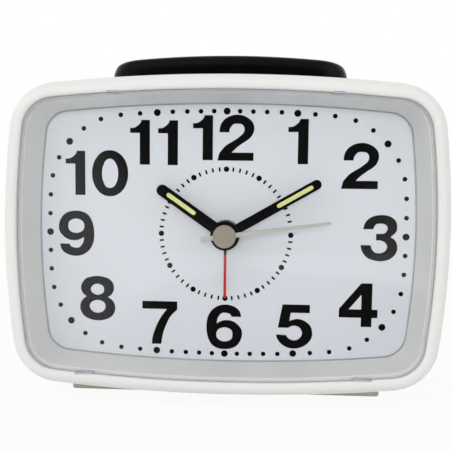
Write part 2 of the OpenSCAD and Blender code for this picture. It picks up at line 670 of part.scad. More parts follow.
module movement_cover() color([0.82, 0.83, 0.82]) place() difference() {
  union() {
    plate(back_rear, back_front) mv_rect(0);
    plate(back_front - eps, shell_split - rest_gap) difference() { mv_rect(0); mv_rect(mv_wall); }
    for (p = pillars) at(p) {
      rod(pillar_r, back_front - eps, shell_split - rest_gap);
      rod(pillar_r - 0.4, back_front - eps, bridge_back);
    }
    for (p = [[pcb[0] + 2, pcb[2] + 2], [pcb[1] - 2, pcb[2] + 2]]) at(p) rod(1.5, back_front - eps, pcb_back);
    for (x = [leg_l + leg_w / 2, leg_r - leg_w / 2]) at([x, coil_y])
      rod(1.4, back_front - eps, stator_top - stator_t);
  }
  for (p = concat([[0, 0]], pivots)) at(p) rod(arbor_r + run_fit, back_front - 1.2, 0);
  at(time_p) rod(time_shaft_r + run_fit, -40, 0);
  at(alarm_p) rod(alarm_shaft_r + run_fit, -40, 0);
  for (p = pillars) at(p) rod(screw_hole, -40, 0);
  at(switch_p) plate(-40, 0) rounded((switch_travel + stem_w) / 2 + 0.3, stem_h / 2 + 0.3, 0.3);
  box(leaf_x - 0.15, leaf_x + leaf_t + 0.15, 20, 40, -bar_back - 1.7, -bar_back + 1.7);
  for (p = lead_pads) at(p) rod(lead_r + 0.3, -40, pcb_back);
}
module movement_screws() color([0.75, 0.75, 0.77]) place() for (p = pillars) at(p) difference() {
  union() {
    rod(1.9, back_rear - 1.4, back_rear);
    rod(screw_r, back_rear - eps, frame_front + 2.2);
  }
  for (a = [0, 90]) rotate(a) box(-1.1, 1.1, -0.25, 0.25, back_rear - 2, back_rear - 0.7);
}

// Going train
module seconds_wheel() color([0.92, 0.92, 0.9]) place() union() {
  plate(l_second - wheel_t, l_second) difference() {
    gear(sec_z, sec_mod, sec_turn);
    crossings(5.4, 1.9);
  }
  plate(l_second - eps, l_third + 0.3) gear(sec_pin_z, third_mod, 0);
  rod(arbor_r, back_front - 1, h_second + hand_thickness - 0.05);
}
module third_wheel() color([0.92, 0.92, 0.9]) place() at(third_p) union() {
  plate(l_third - wheel_t, l_third) difference() {
    gear(third_z, third_mod, third_turn);
    crossings(5.5, 2.1);
  }
  plate(l_third - eps, l_center + 0.3) gear(third_pin_z, center_mod, 0);
  rod(arbor_r, back_front - 1, bridge_front);
}
module center_wheel() color([0.88, 0.75, 0.4]) place() plate(l_center - wheel_t, l_center) difference() {
  gear(center_z, center_mod, center_turn);
  circle(r = pipe_r + run_fit);
  crossings(5.5, 2.1);
}
module minute_pipe() color([0.92, 0.92, 0.9]) place() difference() {
  union() {
    rod(pipe_r, l_center - wheel_t - 0.4, h_minute + hand_thickness);
    plate(l_minute - 1.2, l_minute) gear(cannon_z, minute_mod, 0);
  }
  rod(pipe_bore, -40, 20);
}
module minute_wheel() color([0.92, 0.92, 0.9]) place() at(minute_p) difference() {
  union() {
    plate(l_minute - wheel_t, l_minute - 0.2) gear(minute_z, minute_mod, minute_wheel_turn);
    plate(l_minute - 0.3, l_hour + 0.2) gear(minute_pin_z, hour_mod, 0);
  }
  rod(stud_r + run_fit, -40, 0);
}
module hour_wheel() color([0.92, 0.92, 0.9]) place() difference() {
  union() {
    plate(l_hour - wheel_t, l_hour) difference() {
      gear(hour_z, hour_mod, hour_wheel_turn);
      crossings(5.4, 1.8);
    }
    rod(hour_tube, l_hour - wheel_t, h_hour + hand_thickness);
  }
  rod(hour_bore, -40, 20);
}
module alarm_wheel() color([0.85, 0.85, 0.8]) place() difference() {
  union() {
    plate(l_alarm - wheel_t, l_alarm) gear(alarm_z, alarm_mod, 0);
    rod(alarm_tube, l_alarm - wheel_t, h_alarm + hand_thickness);
  }
  rod(alarm_bore, -40, 20);
}
module intermediate_wheel() color([0.92, 0.92, 0.9]) place() at(inter_p) union() {
  plate(l_inter - wheel_t, l_inter) difference() {
    gear(inter_z, rotor_mod, inter_turn);
    crossings(5.4, 1.9);
  }
  plate(l_inter - eps, l_second + 0.2) gear(inter_pin_z, sec_mod, 0);
  rod(arbor_r, back_front - 1, bridge_front);
}
magnet_r = 3;
magnet_lo = l_third - 1.7;
magnet_hi = l_third + 1.7;
module rotor() color([0.92, 0.92, 0.9]) place() at(rotor_p) union() {
  plate(l_inter - wheel_t - 0.2, l_inter + 0.2) gear(rotor_z, rotor_mod, 0);
  rod(arbor_r, back_front - 1, bridge_front);
  rod(1.2, l_inter + 0.2, magnet_lo - press_fit);
}
module rotor_magnet() color([0.3, 0.3, 0.32]) place() at(rotor_p) difference() {
  rod(magnet_r, magnet_lo, magnet_hi);
  rod(arbor_r + press_fit, -40, 0);
}

// Stepping motor and circuit
module stator() color([0.6, 0.6, 0.62]) place() plate(stator_top - stator_t, stator_top) difference() {
  union() {
    at(rotor_p) circle(r = 6);
    for (s = [[leg_l, -3.5], [leg_r - leg_w, 3.5]]) {
      translate([s[0], coil_y - core_half]) square([leg_w, 2 * core_half]);
      polygon([rotor_p + [s[1] - 1.6, 3], rotor_p + [s[1] + 1.6, 3],
        [s[0] + leg_w - 0.3, coil_y - core_half + 0.1], [s[0] + 0.3, coil_y - core_half + 0.1]]);
    }
  }
  at(rotor_p) circle(r = magnet_r + 0.5);
}
module coil_core() color([0.6, 0.6, 0.62]) place()
  box(leg_l, leg_r, coil_y - core_half, coil_y + core_half, stator_top, stator_top + core_t);
bobbin = [9.2, 23.5];
module along_x(x0, x1, y, h) translate([x0, y, h]) rotate([0, 90, 0]) linear_extrude(x1 - x0) children();
module coil_bobbin() color([0.15, 0.35, 0.2]) place() difference() {
  union() {
    along_x(bobbin[0], bobbin[1], coil_y, coil_h) circle(r = 1.9);
    for (x = [bobbin[0], bobbin[1] - 0.8]) along_x(x, x + 0.8, coil_y, coil_h) circle(r = 2.85);
  }
  box(0, 40, coil_y - core_half - rest_gap, coil_y + core_half + rest_gap, coil_h - core_t / 2 - 0.05,
    coil_h + core_t / 2 + 0.05);
}
module coil_winding() color([0.72, 0.4, 0.2]) place() difference() {
  along_x(bobbin[0] + 0.85, bobbin[1] - 0.85, coil_y, coil_h) circle(r = 2.7);
  along_x(0, 40, coil_y, coil_h) circle(r = 1.9 + press_fit);
}
module circuit_board() color([0.12, 0.38, 0.22]) place()
  box(pcb[0], pcb[1], pcb[2], pcb[3], pcb_back, pcb_front);
module chip() color([0.06, 0.06, 0.06]) place() translate([-9, 15.5, 0]) {
  rod(2.2, pcb_front, pcb_front + 0.5);
  rod(1.5, pcb_front + 0.49, pcb_front + 0.9);
}
module quartz_crystal() color([0.8, 0.8, 0.82]) place()
  along_x(-20, -14, 15.5, pcb_front + 1.05) circle(r = 1);
contact_h = l_hour - wheel_t - 0.45;
module alarm_contact() color([0.85, 0.75, 0.45]) place() {
  plate(contact_h, contact_h + leaf_t) difference() {
    union() {
      circle(r = 3.6);
      polygon([[-3.4, 0.5], [0.6, 3.4], [-10.4, 20.1], [-13.6, 20.1], [-13.6, 19.9]]);
    }
    circle(r = 2);
  }
  box(-13.6, -10.4, 19.9, 20.1, pcb_front, contact_h + leaf_t);
}

// Setting shafts, knobs and switch
module knob(bore) difference() {
  plate(-knob_rear, -cover_rear - knob_gap) difference() {
    circle(r = knob_radius);
    for (k = [0 : knob_flutes - 1]) rotate(360 * k / knob_flutes)
      translate([knob_radius + 0.5, 0]) circle(r = 1);
  }
  rod(bore + press_fit, -cover_rear - 4, 0);
  rod(knob_radius - 2.2, -knob_rear - 1, -knob_rear + 0.8);
}
module time_set_shaft() color([0.92, 0.92, 0.9]) place() at(time_p) union() {
  rod(set_pivot_r, l_alarm, frame_back + 1);
  rod(time_neck_r, bridge_front - 0.05, l_alarm + 0.2);
  plate(l_minute - 1.2, l_minute) gear(cannon_z, minute_mod, time_turn);
  rod(time_shaft_r, -cover_rear - 3.9, bridge_front - 0.04);
}
module time_set_knob() color([0.12, 0.12, 0.12]) place() at(time_p) knob(time_shaft_r);
module alarm_set_shaft() color([0.92, 0.92, 0.9]) place() at(alarm_p) union() {
  rod(set_pivot_r, l_alarm, frame_back + 1);
  plate(l_alarm - 1.2, l_alarm + 0.1) gear(alarm_pin_z, alarm_mod, alarm_pin_turn);
  rod(alarm_shaft_r, -cover_rear - 3.9, l_alarm - 1);
}
module alarm_set_knob() color([0.12, 0.12, 0.12]) place() at(alarm_p) knob(alarm_shaft_r);
module alarm_switch() color([0.12, 0.12, 0.12]) place() at(switch_p) translate([-switch_travel / 2, 0, 0]) {
  plate(-cover_rear - 1.6, cover_front + 0.2) rounded(2.9, 1.8, 0.5);
  plate(cover_front + rest_gap, cover_front + 1.3) rounded(7.6, 3.4, 0.6);
  box(-stem_w / 2, stem_w / 2, -stem_h / 2, stem_h / 2, cover_front + 1.2, pcb_back - 0.15);
}

// Battery, door, contacts and leads
module battery() color([0.2, 0.22, 0.25]) place() {
  along_x(battery_x0, battery_x1, battery_y, battery_h) circle(r = battery_radius);
  along_x(battery_x1 - eps, battery_x1 + button_length, battery_y, battery_h) circle(r = button_radius);
}
module battery_door() color([0.9, 0.9, 0.88]) place() translate([0, battery_y, 0]) {
  box(-door_hw, door_hw, hinge_y, door_hh, -cover_rear, -cover_rear + door_t);
  along_x(-door_hw + 1.5, door_hw - 1.5, hinge_y, -cover_rear + door_t / 2) circle(r = hinge_r);
  box(-bay_hw + 0.4, bay_hw - 0.4, -bay_hh + 0.4, bay_hh - 0.4, -cover_rear + door_t - eps,
    -cover_rear + door_t + door_rib);
}
plus_x = battery_x1 + button_length + 0.05;
module contact_plus() color([0.8, 0.8, 0.78]) place() translate([0, battery_y, 0]) {
  box(bay_end - strip_t, bay_end, -5, 5, battery_h - 5, bay_front - 0.3);
  box(bay_end - strip_t, bay_end, -tail_w / 2, tail_w / 2, bay_front - 0.31, bay_front + 3);
  along_x(plus_x, bay_end - strip_t + eps, 0, battery_h) circle(r = 2.4);
}
module contact_minus() color([0.8, 0.8, 0.78]) place() translate([0, battery_y, 0]) {
  box(-bay_end, -bay_end + strip_t, -5, 5, battery_h - 5, bay_front - 0.3);
  box(-bay_end, -bay_end + strip_t, -tail_w / 2, tail_w / 2, bay_front - 0.31, bay_front + 3);
}
cell_spring_len = battery_x0 + bay_end - strip_t - 0.1;
cell_turns = 4;
echo(cell_spring_gap = (cell_spring_len - 0.6) / cell_turns - 0.6);
module contact_spring() color([0.8, 0.8, 0.78]) place()
  translate([-bay_end + strip_t + 0.05, battery_y, battery_h]) rotate([0, 90, 0])
  coil(4.6, 2.6, cell_spring_len, cell_turns, 0.3);
// Leads: hand-picked way points; each ends at its pad through a hole in the movement's back
lead_r = 0.55;
thin_lead_r = 0.45;
pad_plus = [-9, 13.2];
pad_minus = [-18.5, 22.5];
pad_ceramic = [-6.5, 21.5];
pad_disc = [-9, 17.5];
lead_pads = [pad_plus, pad_minus, pad_disc, pad_ceramic];
lead_tail = bay_front + 2;
function to_pad(p, from) = [for (h = [from, back_rear + 0.3, pcb_back - rest_gap]) [p[0], p[1], h]];
tail_out = bay_end + lead_r + 0.05;
lead_bend = bay_hw + bay_wall + 2.4;
module battery_leads() place() {
  color([0.7, 0.1, 0.1]) tube_along(concat([[tail_out, battery_y, lead_tail], [lead_bend, -25, -22.5],
    [29, -15, -27], [16, -1, -29], [2, 8, -29]], to_pad(pad_plus, -27)), lead_r);
  color([0.08, 0.08, 0.08]) tube_along(concat([[-tail_out, battery_y, lead_tail], [-lead_bend, -25, -22.5],
    [-31.5, -8, -26], [-28, 8, -28], [-23, 18, -28.5]], to_pad(pad_minus, -27)), lead_r);
}

// Sounder
module buzzer_disc() color([0.85, 0.72, 0.35]) place() at(buzzer_p)
  rod(buzzer_r, buzzer_seat, buzzer_seat + disc_t);
module buzzer_ceramic() color([0.85, 0.85, 0.82]) place() at(buzzer_p)
  rod(9.5, buzzer_seat + disc_t, buzzer_seat + disc_t + ceramic_t);
module buzzer_ring() color([0.15, 0.15, 0.15]) place() at(buzzer_p) difference() {
  rod(buzzer_r, buzzer_seat + disc_t, buzzer_seat + disc_t + 1.6);
  rod(buzzer_r - 1.6, -50, 0);
}
disc_joint = buzzer_seat + disc_t + thin_lead_r + rest_gap;
module buzzer_leads() place() {
  color([0.7, 0.1, 0.1]) tube_along(concat([[8, 22, disc_joint + ceramic_t], [3, 22.5, -33],
    [-3, 22, -30]], to_pad(pad_ceramic, -27)), thin_lead_r);
  color([0.08, 0.08, 0.08]) tube_along(concat([[4.2, 18.5, disc_joint], [1.8, 18.2, -32.2],
    [-5, 17.6, -30]], to_pad(pad_disc, -27)), thin_lead_r);
}

// Drawing
front_case();
lens();
dial_plate();
dial_carrier();
base_plinth();
rear_cover();
case_screws();
snooze_bar();
snooze_springs();
snooze_clips();
snooze_contact();
second_hand();
minute_hand();
minute_lume();
hour_hand();
hour_lume();
alarm_hand();
movement_frame();
movement_bridge();
movement_cover();
movement_screws();
seconds_wheel();
third_wheel();
center_wheel();
minute_pipe();
minute_wheel();
hour_wheel();
alarm_wheel();
intermediate_wheel();
rotor();
rotor_magnet();
stator();
coil_core();
coil_bobbin();
coil_winding();
circuit_board();
chip();
quartz_crystal();
alarm_contact();
time_set_shaft();
time_set_knob();
alarm_set_shaft();
alarm_set_knob();
alarm_switch();
battery();
battery_door();
contact_plus();
contact_minus();
contact_spring();
battery_leads();
buzzer_disc();
buzzer_ceramic();
buzzer_ring();
buzzer_leads();
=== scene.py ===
import json
import math
import bmesh
import bpy
from mathutils import Matrix, Vector


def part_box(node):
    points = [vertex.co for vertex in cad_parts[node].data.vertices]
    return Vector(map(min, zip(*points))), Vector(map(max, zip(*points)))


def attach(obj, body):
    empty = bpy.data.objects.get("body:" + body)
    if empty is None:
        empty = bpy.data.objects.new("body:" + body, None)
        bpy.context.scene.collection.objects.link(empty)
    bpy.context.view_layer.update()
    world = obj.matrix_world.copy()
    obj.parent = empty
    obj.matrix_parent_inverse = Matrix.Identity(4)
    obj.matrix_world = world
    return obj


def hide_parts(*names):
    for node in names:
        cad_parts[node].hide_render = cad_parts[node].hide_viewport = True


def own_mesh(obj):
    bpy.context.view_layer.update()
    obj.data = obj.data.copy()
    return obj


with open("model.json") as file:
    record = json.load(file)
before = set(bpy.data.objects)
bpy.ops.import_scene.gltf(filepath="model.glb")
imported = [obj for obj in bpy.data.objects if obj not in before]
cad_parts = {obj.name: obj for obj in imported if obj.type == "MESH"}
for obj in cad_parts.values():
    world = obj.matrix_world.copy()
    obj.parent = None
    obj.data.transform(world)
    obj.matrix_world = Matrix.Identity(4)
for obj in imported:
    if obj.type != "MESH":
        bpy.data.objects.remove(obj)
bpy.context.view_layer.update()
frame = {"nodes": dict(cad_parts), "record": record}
nodes = frame["nodes"]
slotOf = {part["node"]: part["material_slot"] for part in frame["record"]["subparts"]}
mm = 0.001

# The dial frame: x right, y up, h toward the viewer from the dial's face, all in millimetres
dialLow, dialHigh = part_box("dial_plate")
dialY, dialZ = dialLow.y, (dialLow.z + dialHigh.z) / 2
toWorld = Matrix(((mm, 0, 0, 0), (0, 0, -mm, dialY), (0, mm, 0, dialZ), (0, 0, 0, 1)))
print("frame loaded:", len(nodes), "nodes")


def linked(name, data):
    obj = bpy.data.objects.new(name, data)
    bpy.context.scene.collection.objects.link(obj)
    return obj


# Camera, at the viewing angle of the photograph
photoView = {"yaw": 2.79, "pitch": 4.67, "roll": 0.67, "distance": 185.0, "lens": 47.716, "sensor": 36.0,
             "clip": (0.01, 50), "sidePx": 0.27, "dropPx": 8.3, "framePx": 452}


def addCamera(s):
    yaw, pitch, roll = (math.radians(s[k]) for k in ("yaw", "pitch", "roll"))
    back = Vector((math.sin(yaw) * math.cos(pitch), -math.cos(yaw) * math.cos(pitch), math.sin(pitch)))
    right = Vector((math.cos(yaw), math.sin(yaw), 0))
    up = back.cross(right)
    across = math.cos(roll) * right + math.sin(roll) * up
    upward = math.cos(roll) * up - math.sin(roll) * right
    data = bpy.data.cameras.new("photoCamera")
    data.sensor_width, data.lens = s["sensor"], s["lens"]
    data.shift_x, data.shift_y = s["sidePx"] / s["framePx"], s["dropPx"] / s["framePx"]
    data.clip_start, data.clip_end = s["clip"]
    camera = linked("photoCamera", data)
    turn = Matrix((across, upward, back)).transposed().to_4x4()
    camera.matrix_world = Matrix.Translation(toWorld @ Vector() + back * s["distance"] * mm) @ turn
    bpy.context.scene.camera = camera


addCamera(photoView)


# Node trees: a wire is a socket that takes part in sums, and one method makes every other node
def summed(operation, turned=False):
    return lambda a, b: a.wiring.maths(operation, *((b, a) if turned else (a, b)))


class Wire:
    def __init__(self, wiring, socket):
        self.wiring, self.socket = wiring, socket

    __add__ = __radd__ = summed("ADD")
    __sub__, __rsub__ = summed("SUBTRACT"), summed("SUBTRACT", True)
    __mul__, __pow__, __mod__ = summed("MULTIPLY"), summed("POWER"), summed("FLOORED_MODULO")
    __lt__, __gt__ = summed("LESS_THAN"), summed("GREATER_THAN")


class Wiring:
    def __init__(self, tree):
        self.tree = tree

    def make(self, kind, sockets=None, out=0, **settings):
        node = self.tree.nodes.new(kind)
        for key, value in settings.items():
            setattr(node, key, value)
        for key, value in (sockets or {}).items():
            if isinstance(value, Wire):
                self.tree.links.new(value.socket, node.inputs[key])
            else:
                node.inputs[key].default_value = value
        return Wire(self, node.outputs[out]) if len(node.outputs) else node

    def maths(self, operation, a, b=0.0, clamp=False):
        return self.make("ShaderNodeMath", {0: a, 1: b}, operation=operation, use_clamp=clamp)

    def eased(self, value, low, high, start, end):  # from one level to another, slow at both ends
        return self.make("ShaderNodeMapRange", {"Value": value, "From Min": low, "From Max": high, "To Min": start,
                                                "To Max": end}, interpolation_type="SMOOTHSTEP")


def tone(colour):  # three values from 0 to 255, as a screen shows them, made linear. Anything else passes
    if not isinstance(colour, tuple) or len(colour) != 3:
        return colour
    shares = [c / 255 for c in colour]
    return tuple(c / 12.92 if c <= 0.04045 else ((c + 0.055) / 1.055) ** 2.4 for c in shares) + (1.0,)


class Finish(Wiring):
    def __init__(self, name):
        self.material = bpy.data.materials.new(name)
        self.material.use_nodes = True
        super().__init__(self.material.node_tree)
        self.tree.nodes.clear()
        self.coords = self.make("ShaderNodeTexCoord", out="Object")

    def moved(self, scale=(1, 1, 1), shift=(0, 0, 0)):
        return self.make("ShaderNodeMapping", {"Vector": self.coords, "Location": shift, "Scale": scale})

    def axis(self, letter):
        return self.make("ShaderNodeSeparateXYZ", {"Vector": self.coords}, out=letter)

    def noise(self, scale, detail=2.0, rough=0.5, vector=None):
        return self.make("ShaderNodeTexNoise", {"Vector": vector or self.coords, "Scale": scale, "Detail": detail,
                                                "Roughness": rough})

    def cells(self, scale):
        return self.make("ShaderNodeTexVoronoi", {"Vector": self.coords, "Scale": scale})

    def span(self, value, low, high):
        return self.make("ShaderNodeMapRange", {"Value": value, "From Min": low, "From Max": high})

    def blend(self, share, first, second):
        return self.make("ShaderNodeMix", {0: share, 6: tone(first), 7: tone(second)}, out=2, data_type="RGBA")

    def wearAndShade(self, low, high):  # raised edges, or with high below low the hollow corners, where it gives painted shade
        return self.span(self.make("ShaderNodeNewGeometry", out="Pointiness"), low, high)

    def length(self, vector):
        return self.make("ShaderNodeVectorMath", {0: vector}, out="Value", operation="LENGTH")

    def fromAxis(self):  # distance from the hands' axis
        flat = self.moved(shift=(0, 0, -dialZ))
        return self.length(self.make("ShaderNodeVectorMath", {0: flat, 1: (1, 0, 1)}, operation="MULTIPLY"))

    def surface(self, colour, rough, height, depth, shine=0.5, **fixed):
        relief = self.make("ShaderNodeBump", {"Strength": 1.0, "Distance": depth, "Height": height})
        sockets = {"Base Color": colour, "Roughness": rough, "Specular IOR Level": shine, "Normal": relief}
        sockets.update({key.replace("_", " "): value for key, value in fixed.items()})
        return self.close(self.make("ShaderNodeBsdfPrincipled", sockets))

    def close(self, shader):
        self.make("ShaderNodeOutputMaterial", {"Surface": shader})
        return self.material


# Finishes. The case is glossy moulded plastic with a faint orange peel, duller where it is rubbed
def caseGloss():
    f = Finish("caseGloss")
    cloud = f.noise(22, 3)
    edge = f.wearAndShade(0.53, 0.6)
    colour = f.blend(f.span(cloud, 0.35, 0.7), (228, 228, 225), (232, 232, 229))
    # painted shade: the case is darker in its hollow corners
    colour = f.blend(f.wearAndShade(0.47, 0.4) * 0.3, colour, (196, 192, 182))
    rough = 0.3 + f.noise(160, 2) * 0.02 + edge * 0.06
    return f.surface(colour, rough, f.noise(300, 2), 0.000001, shine=0.35)


# The plinth's white plastic is painted grey beige: painted shade for the shade under the case's overhang
def plinthMatte():
    f = Finish("plinthMatte")
    grain = f.cells(1500)
    colour = f.blend(f.span(f.noise(30, 4), 0.3, 0.7), (174, 168, 156), (184, 179, 168))
    # painted shade: darker still in the hollow corners
    colour = f.blend(f.wearAndShade(0.47, 0.4) * 0.4, colour, (168, 162, 150))
    return f.surface(colour, 0.5 + f.noise(300, 3) * 0.14, grain, 0.00003, shine=0.15)


def coverGrain():
    f = Finish("coverGrain")
    grain = f.cells(1250) * 0.6 + f.noise(2600, 2) * 0.4
    colour = f.blend(f.span(f.noise(26, 4), 0.3, 0.7), (232, 231, 226), (239, 238, 234))
    return f.surface(colour, 0.46 + f.noise(240, 3) * 0.16, grain, 0.00004, shine=0.4)


def lensClear():  # thin clear acrylic: Schlick gloss over what shows through, with a breath of haze
    f = Finish("lensClear")
    facing = f.make("ShaderNodeLayerWeight", {"Blend": 0.5}, out="Facing")
    gloss = f.maths("ADD", 0.018 + f.noise(45, 4) * 0.004, (facing ** 5.0) * 0.85, clamp=True)
    through = f.make("ShaderNodeBsdfTransparent", {"Color": (0.995, 0.997, 1.0, 1)})
    shine = f.make("ShaderNodeBsdfGlossy", {"Color": (1, 1, 1, 1), "Roughness": 0.03 + f.noise(700, 2) * 0.02})
    return f.close(f.make("ShaderNodeMixShader", {0: gloss, 1: through, 2: shine}))


def speckled(name, dark, light, mix, dull, relief, depth, **fixed):  # two tones in a fine noise, uneven gloss
    f = Finish(name)
    base, scale, detail, share = dull
    colour = f.blend(f.noise(*mix), dark, light)
    return f.surface(colour, base + f.noise(scale, detail) * share, f.noise(*relief), depth, **fixed)


def dialLacquer():
    f = Finish("dialLacquer")
    fleck = f.noise(5200, 1)
    # painted light: the dial is lighter towards the top and darker towards the bottom, as the light falls
    paintedTopLight = f.span(f.axis("Z"), 0.015, 0.085)
    colour = f.blend(paintedTopLight, (219, 221, 226), (227, 231, 235))
    colour = f.blend(f.span(fleck, 0.62, 0.8) * 0.35, colour, (234, 237, 240))
    return f.surface(colour, 0.38 + f.noise(60, 3) * 0.1, fleck, 0.000006, shine=0.35)


def barGloss():
    f = Finish("barGloss")
    scuff = f.span(f.noise(70, 5, 0.65), 0.55, 0.75)
    colour = f.blend(f.wearAndShade(0.54, 0.66) * 0.5, (5, 6, 6), (20, 22, 21))
    rough = 0.2 + scuff * 0.12 + f.noise(500, 2) * 0.05
    return f.surface(colour, rough, f.noise(380, 2), 0.000018, shine=0.07)


def knobSatin():
    f = Finish("knobSatin")
    colour = f.blend(f.wearAndShade(0.53, 0.62) * 0.6, (26, 26, 27), (66, 66, 66))
    return f.surface(colour, 0.42 + f.noise(260, 4) * 0.15, f.cells(1700), 0.00003, shine=0.4)


def handLacquer():
    f = Finish("handBlack")
    colour = f.blend(f.span(f.noise(240, 3), 0.35, 0.7), (5, 5, 5), (11, 11, 10))
    return f.surface(colour, 0.34 + f.noise(900, 3) * 0.12, f.noise(1500, 2), 0.000006, shine=0.05)


def secondGrey(cap=0.00346):  # the blade is paler than its cap
    f = Finish("secondGrey")
    colour = f.blend(f.fromAxis() < cap, (196, 194, 186), (156, 149, 132))
    colour = f.blend(f.noise(500, 3) * 0.25, colour, (128, 122, 110))
    return f.surface(colour, 0.36 + f.noise(700, 3) * 0.14, f.noise(1800, 2), 0.000006, shine=0.4)


def alarmRed(hub=0.0062):  # red blade on a dark hub
    f = Finish("alarmRed")
    colour = f.blend(f.span(f.noise(240, 3), 0.35, 0.7), (190, 30, 26), (206, 46, 40))
    colour = f.blend(f.fromAxis() < hub, colour, (10, 10, 10))
    return f.surface(colour, 0.36 + f.noise(900, 3) * 0.12, f.noise(1500, 2), 0.000006, shine=0.4)


def lumePaint():
    f = Finish("lumePaint")
    grit = f.noise(3200, 2)
    colour = f.blend(f.span(f.noise(420, 3), 0.3, 0.7), (208, 211, 139), (232, 236, 158))
    colour = f.blend(f.span(grit, 0.6, 0.8) * 0.4, colour, (246, 248, 205))
    return f.surface(colour, 0.62 + grit * 0.2, grit, 0.00003, shine=0.2)


def moulded(name, dark, light, rough=0.45, grain=1400, depth=0.00002, **fixed):  # inner moulded pieces
    f = Finish(name)
    flow = f.noise(60, 4, vector=f.moved(scale=(1, 1, 3)))
    colour = f.blend(f.span(flow, 0.3, 0.7), dark, light)
    return f.surface(colour, rough + f.noise(300, 3) * 0.15, f.noise(grain, 2), depth, **fixed)


def sheetMetal(name, dark, light, rough=0.28, stretch=(1, 14, 14)):  # rolled or turned, with fine drawn lines
    f = Finish(name)
    lines = f.noise(900, 3, vector=f.moved(scale=stretch))
    stain = f.span(f.noise(90, 4), 0.5, 0.8)
    colour = f.blend(lines, dark, light)
    return f.surface(colour, rough + lines * 0.14 + stain * 0.12, lines, 0.000008, Metallic=1.0)


def boardGreen():  # coated laminate with lighter copper runs under the coat
    f = Finish("boardGreen")
    across = f.make("ShaderNodeTexWave", {"Vector": f.coords, "Scale": 130, "Distortion": 6.0, "Detail": 1.0,
                                          "Detail Scale": 0.6}, wave_type="BANDS", bands_direction="X")
    runs = f.span(across, 0.72, 0.78)
    colour = f.blend(runs * 0.8, (22, 74, 44), (62, 132, 78))
    colour = f.blend(f.noise(2400, 2) * 0.2, colour, (16, 52, 32))
    return f.surface(colour, 0.3 + f.noise(700, 3) * 0.12, runs + f.noise(3000, 1) * 0.2, 0.00003)


def batterySleeve():  # plain sleeve with two bands, bare metal at both ends
    f = Finish("batterySleeve")
    low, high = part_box("battery")
    along = f.span(f.axis("X"), low.x, high.x)
    band = (along > 0.7) * (along < 0.94)
    bare = (along > 0.968) + (along < 0.012)
    colour = f.blend(band, (38, 42, 50), (186, 142, 70))
    colour = f.blend((along > 0.685) * (along < 0.7), colour, (212, 212, 214))
    colour = f.blend(f.noise(300, 3) * 0.12, colour, (20, 20, 24))
    colour = f.blend(bare, colour, (200, 200, 204))
    return f.surface(colour, 0.24 + f.noise(420, 3) * 0.12, f.noise(900, 3), 0.00001,
                     Metallic=bare * 0.95 + band * 0.3)


def leadSleeve(name, dark, light):
    return speckled(name, dark, light, (800, 3), (0.44, 1500, 2, 0.16), (2200, 2), 0.00001, shine=0.4)


def foamCells():
    f = Finish("foamCells")
    cell = f.cells(2600)
    colour = f.blend(cell, (20, 20, 21), (52, 52, 54))
    return f.surface(colour, 0.85, cell, 0.00012, shine=0.15)


finishes = {
    "case_white": caseGloss(), "plinth_white": plinthMatte(), "cover_white": coverGrain(),
    "lens_clear": lensClear(), "dial_silver": dialLacquer(), "bar_black": barGloss(), "knob_black": knobSatin(),
    "hand_black": handLacquer(), "hand_red": alarmRed(), "hand_grey": secondGrey(), "lume": lumePaint(),
    "carrier_grey": moulded("carrierDark", (48, 50, 52), (58, 60, 62), 0.5),
    "gear_white": moulded("gearWhite", (232, 232, 226), (244, 244, 240), 0.36, Subsurface_Weight=0.15,
                          Subsurface_Scale=0.0006),
    "gear_ivory": moulded("gearIvory", (214, 208, 186), (230, 226, 206), 0.38),
    "brass": sheetMetal("brassStamped", (190, 146, 66), (226, 186, 104)),
    "movement_pale": moulded("movementPale", (206, 208, 206), (220, 221, 219), 0.48),
    "steel": sheetMetal("steelZinc", (168, 169, 173), (204, 205, 208), 0.24),
    "iron": sheetMetal("ironSheet", (128, 128, 132), (158, 158, 162), 0.38),
    "magnet": moulded("magnetSintered", (52, 52, 56), (76, 76, 80), 0.5, 2600, 0.00004, Metallic=0.6),
    "bobbin_green": moulded("bobbinGreen", (42, 92, 58), (58, 112, 72), 0.42),
    "board_green": boardGreen(),
    "copper": speckled("copperEnamel", (150, 72, 34), (206, 118, 62), (1600, 3), (0.22, 1200, 2, 0.15),
                       (2600, 2), 0.00001, Metallic=0.85, Coat_Weight=0.5),
    "chip_black": moulded("chipResin", (16, 16, 17), (30, 30, 31), 0.3, 900, 0.00005),
    "can_nickel": sheetMetal("canNickel", (186, 186, 190), (216, 216, 220), 0.16, (1, 20, 20)),
    "battery_wrap": batterySleeve(),
    "wire": leadSleeve("leadRed", (120, 22, 20), (150, 34, 30)),
    "ceramic_white": moulded("ceramicSilvered", (206, 206, 198), (226, 226, 220), 0.3, 3000, 0.00001),
    "foam_black": foamCells(),
}
inkFinish = speckled("dialInk", (5, 5, 5), (11, 11, 10), (900, 2), (0.5, 1800, 2, 0.15), (3000, 1), 0.000004,
                     shine=0.05)
# painted shade: the clear lens's edge bands and tabs are painted opaque grey lilac for the dark line at the lens's edge
lensEdgeShadeFinish = speckled("lensEdgeGrey", (180, 178, 188), (198, 196, 204), (700, 3), (0.4, 1500, 2, 0.2),
                      (2400, 2), 0.00001, shine=0.4)
# painted shade: grey for the strip that stands in for the shadow line at the dial's edge
dialEdgeShadeFinish = moulded("sealGrey", (164, 164, 166), (182, 182, 184), 0.6, 2200, 0.00002)
leadBlack = leadSleeve("leadBlack", (18, 18, 19), (36, 36, 37))
for name, node in nodes.items():
    node.data.materials.clear()
    node.data.materials.append(finishes[slotOf[name]])
print("finishes:", len(finishes) + 4)


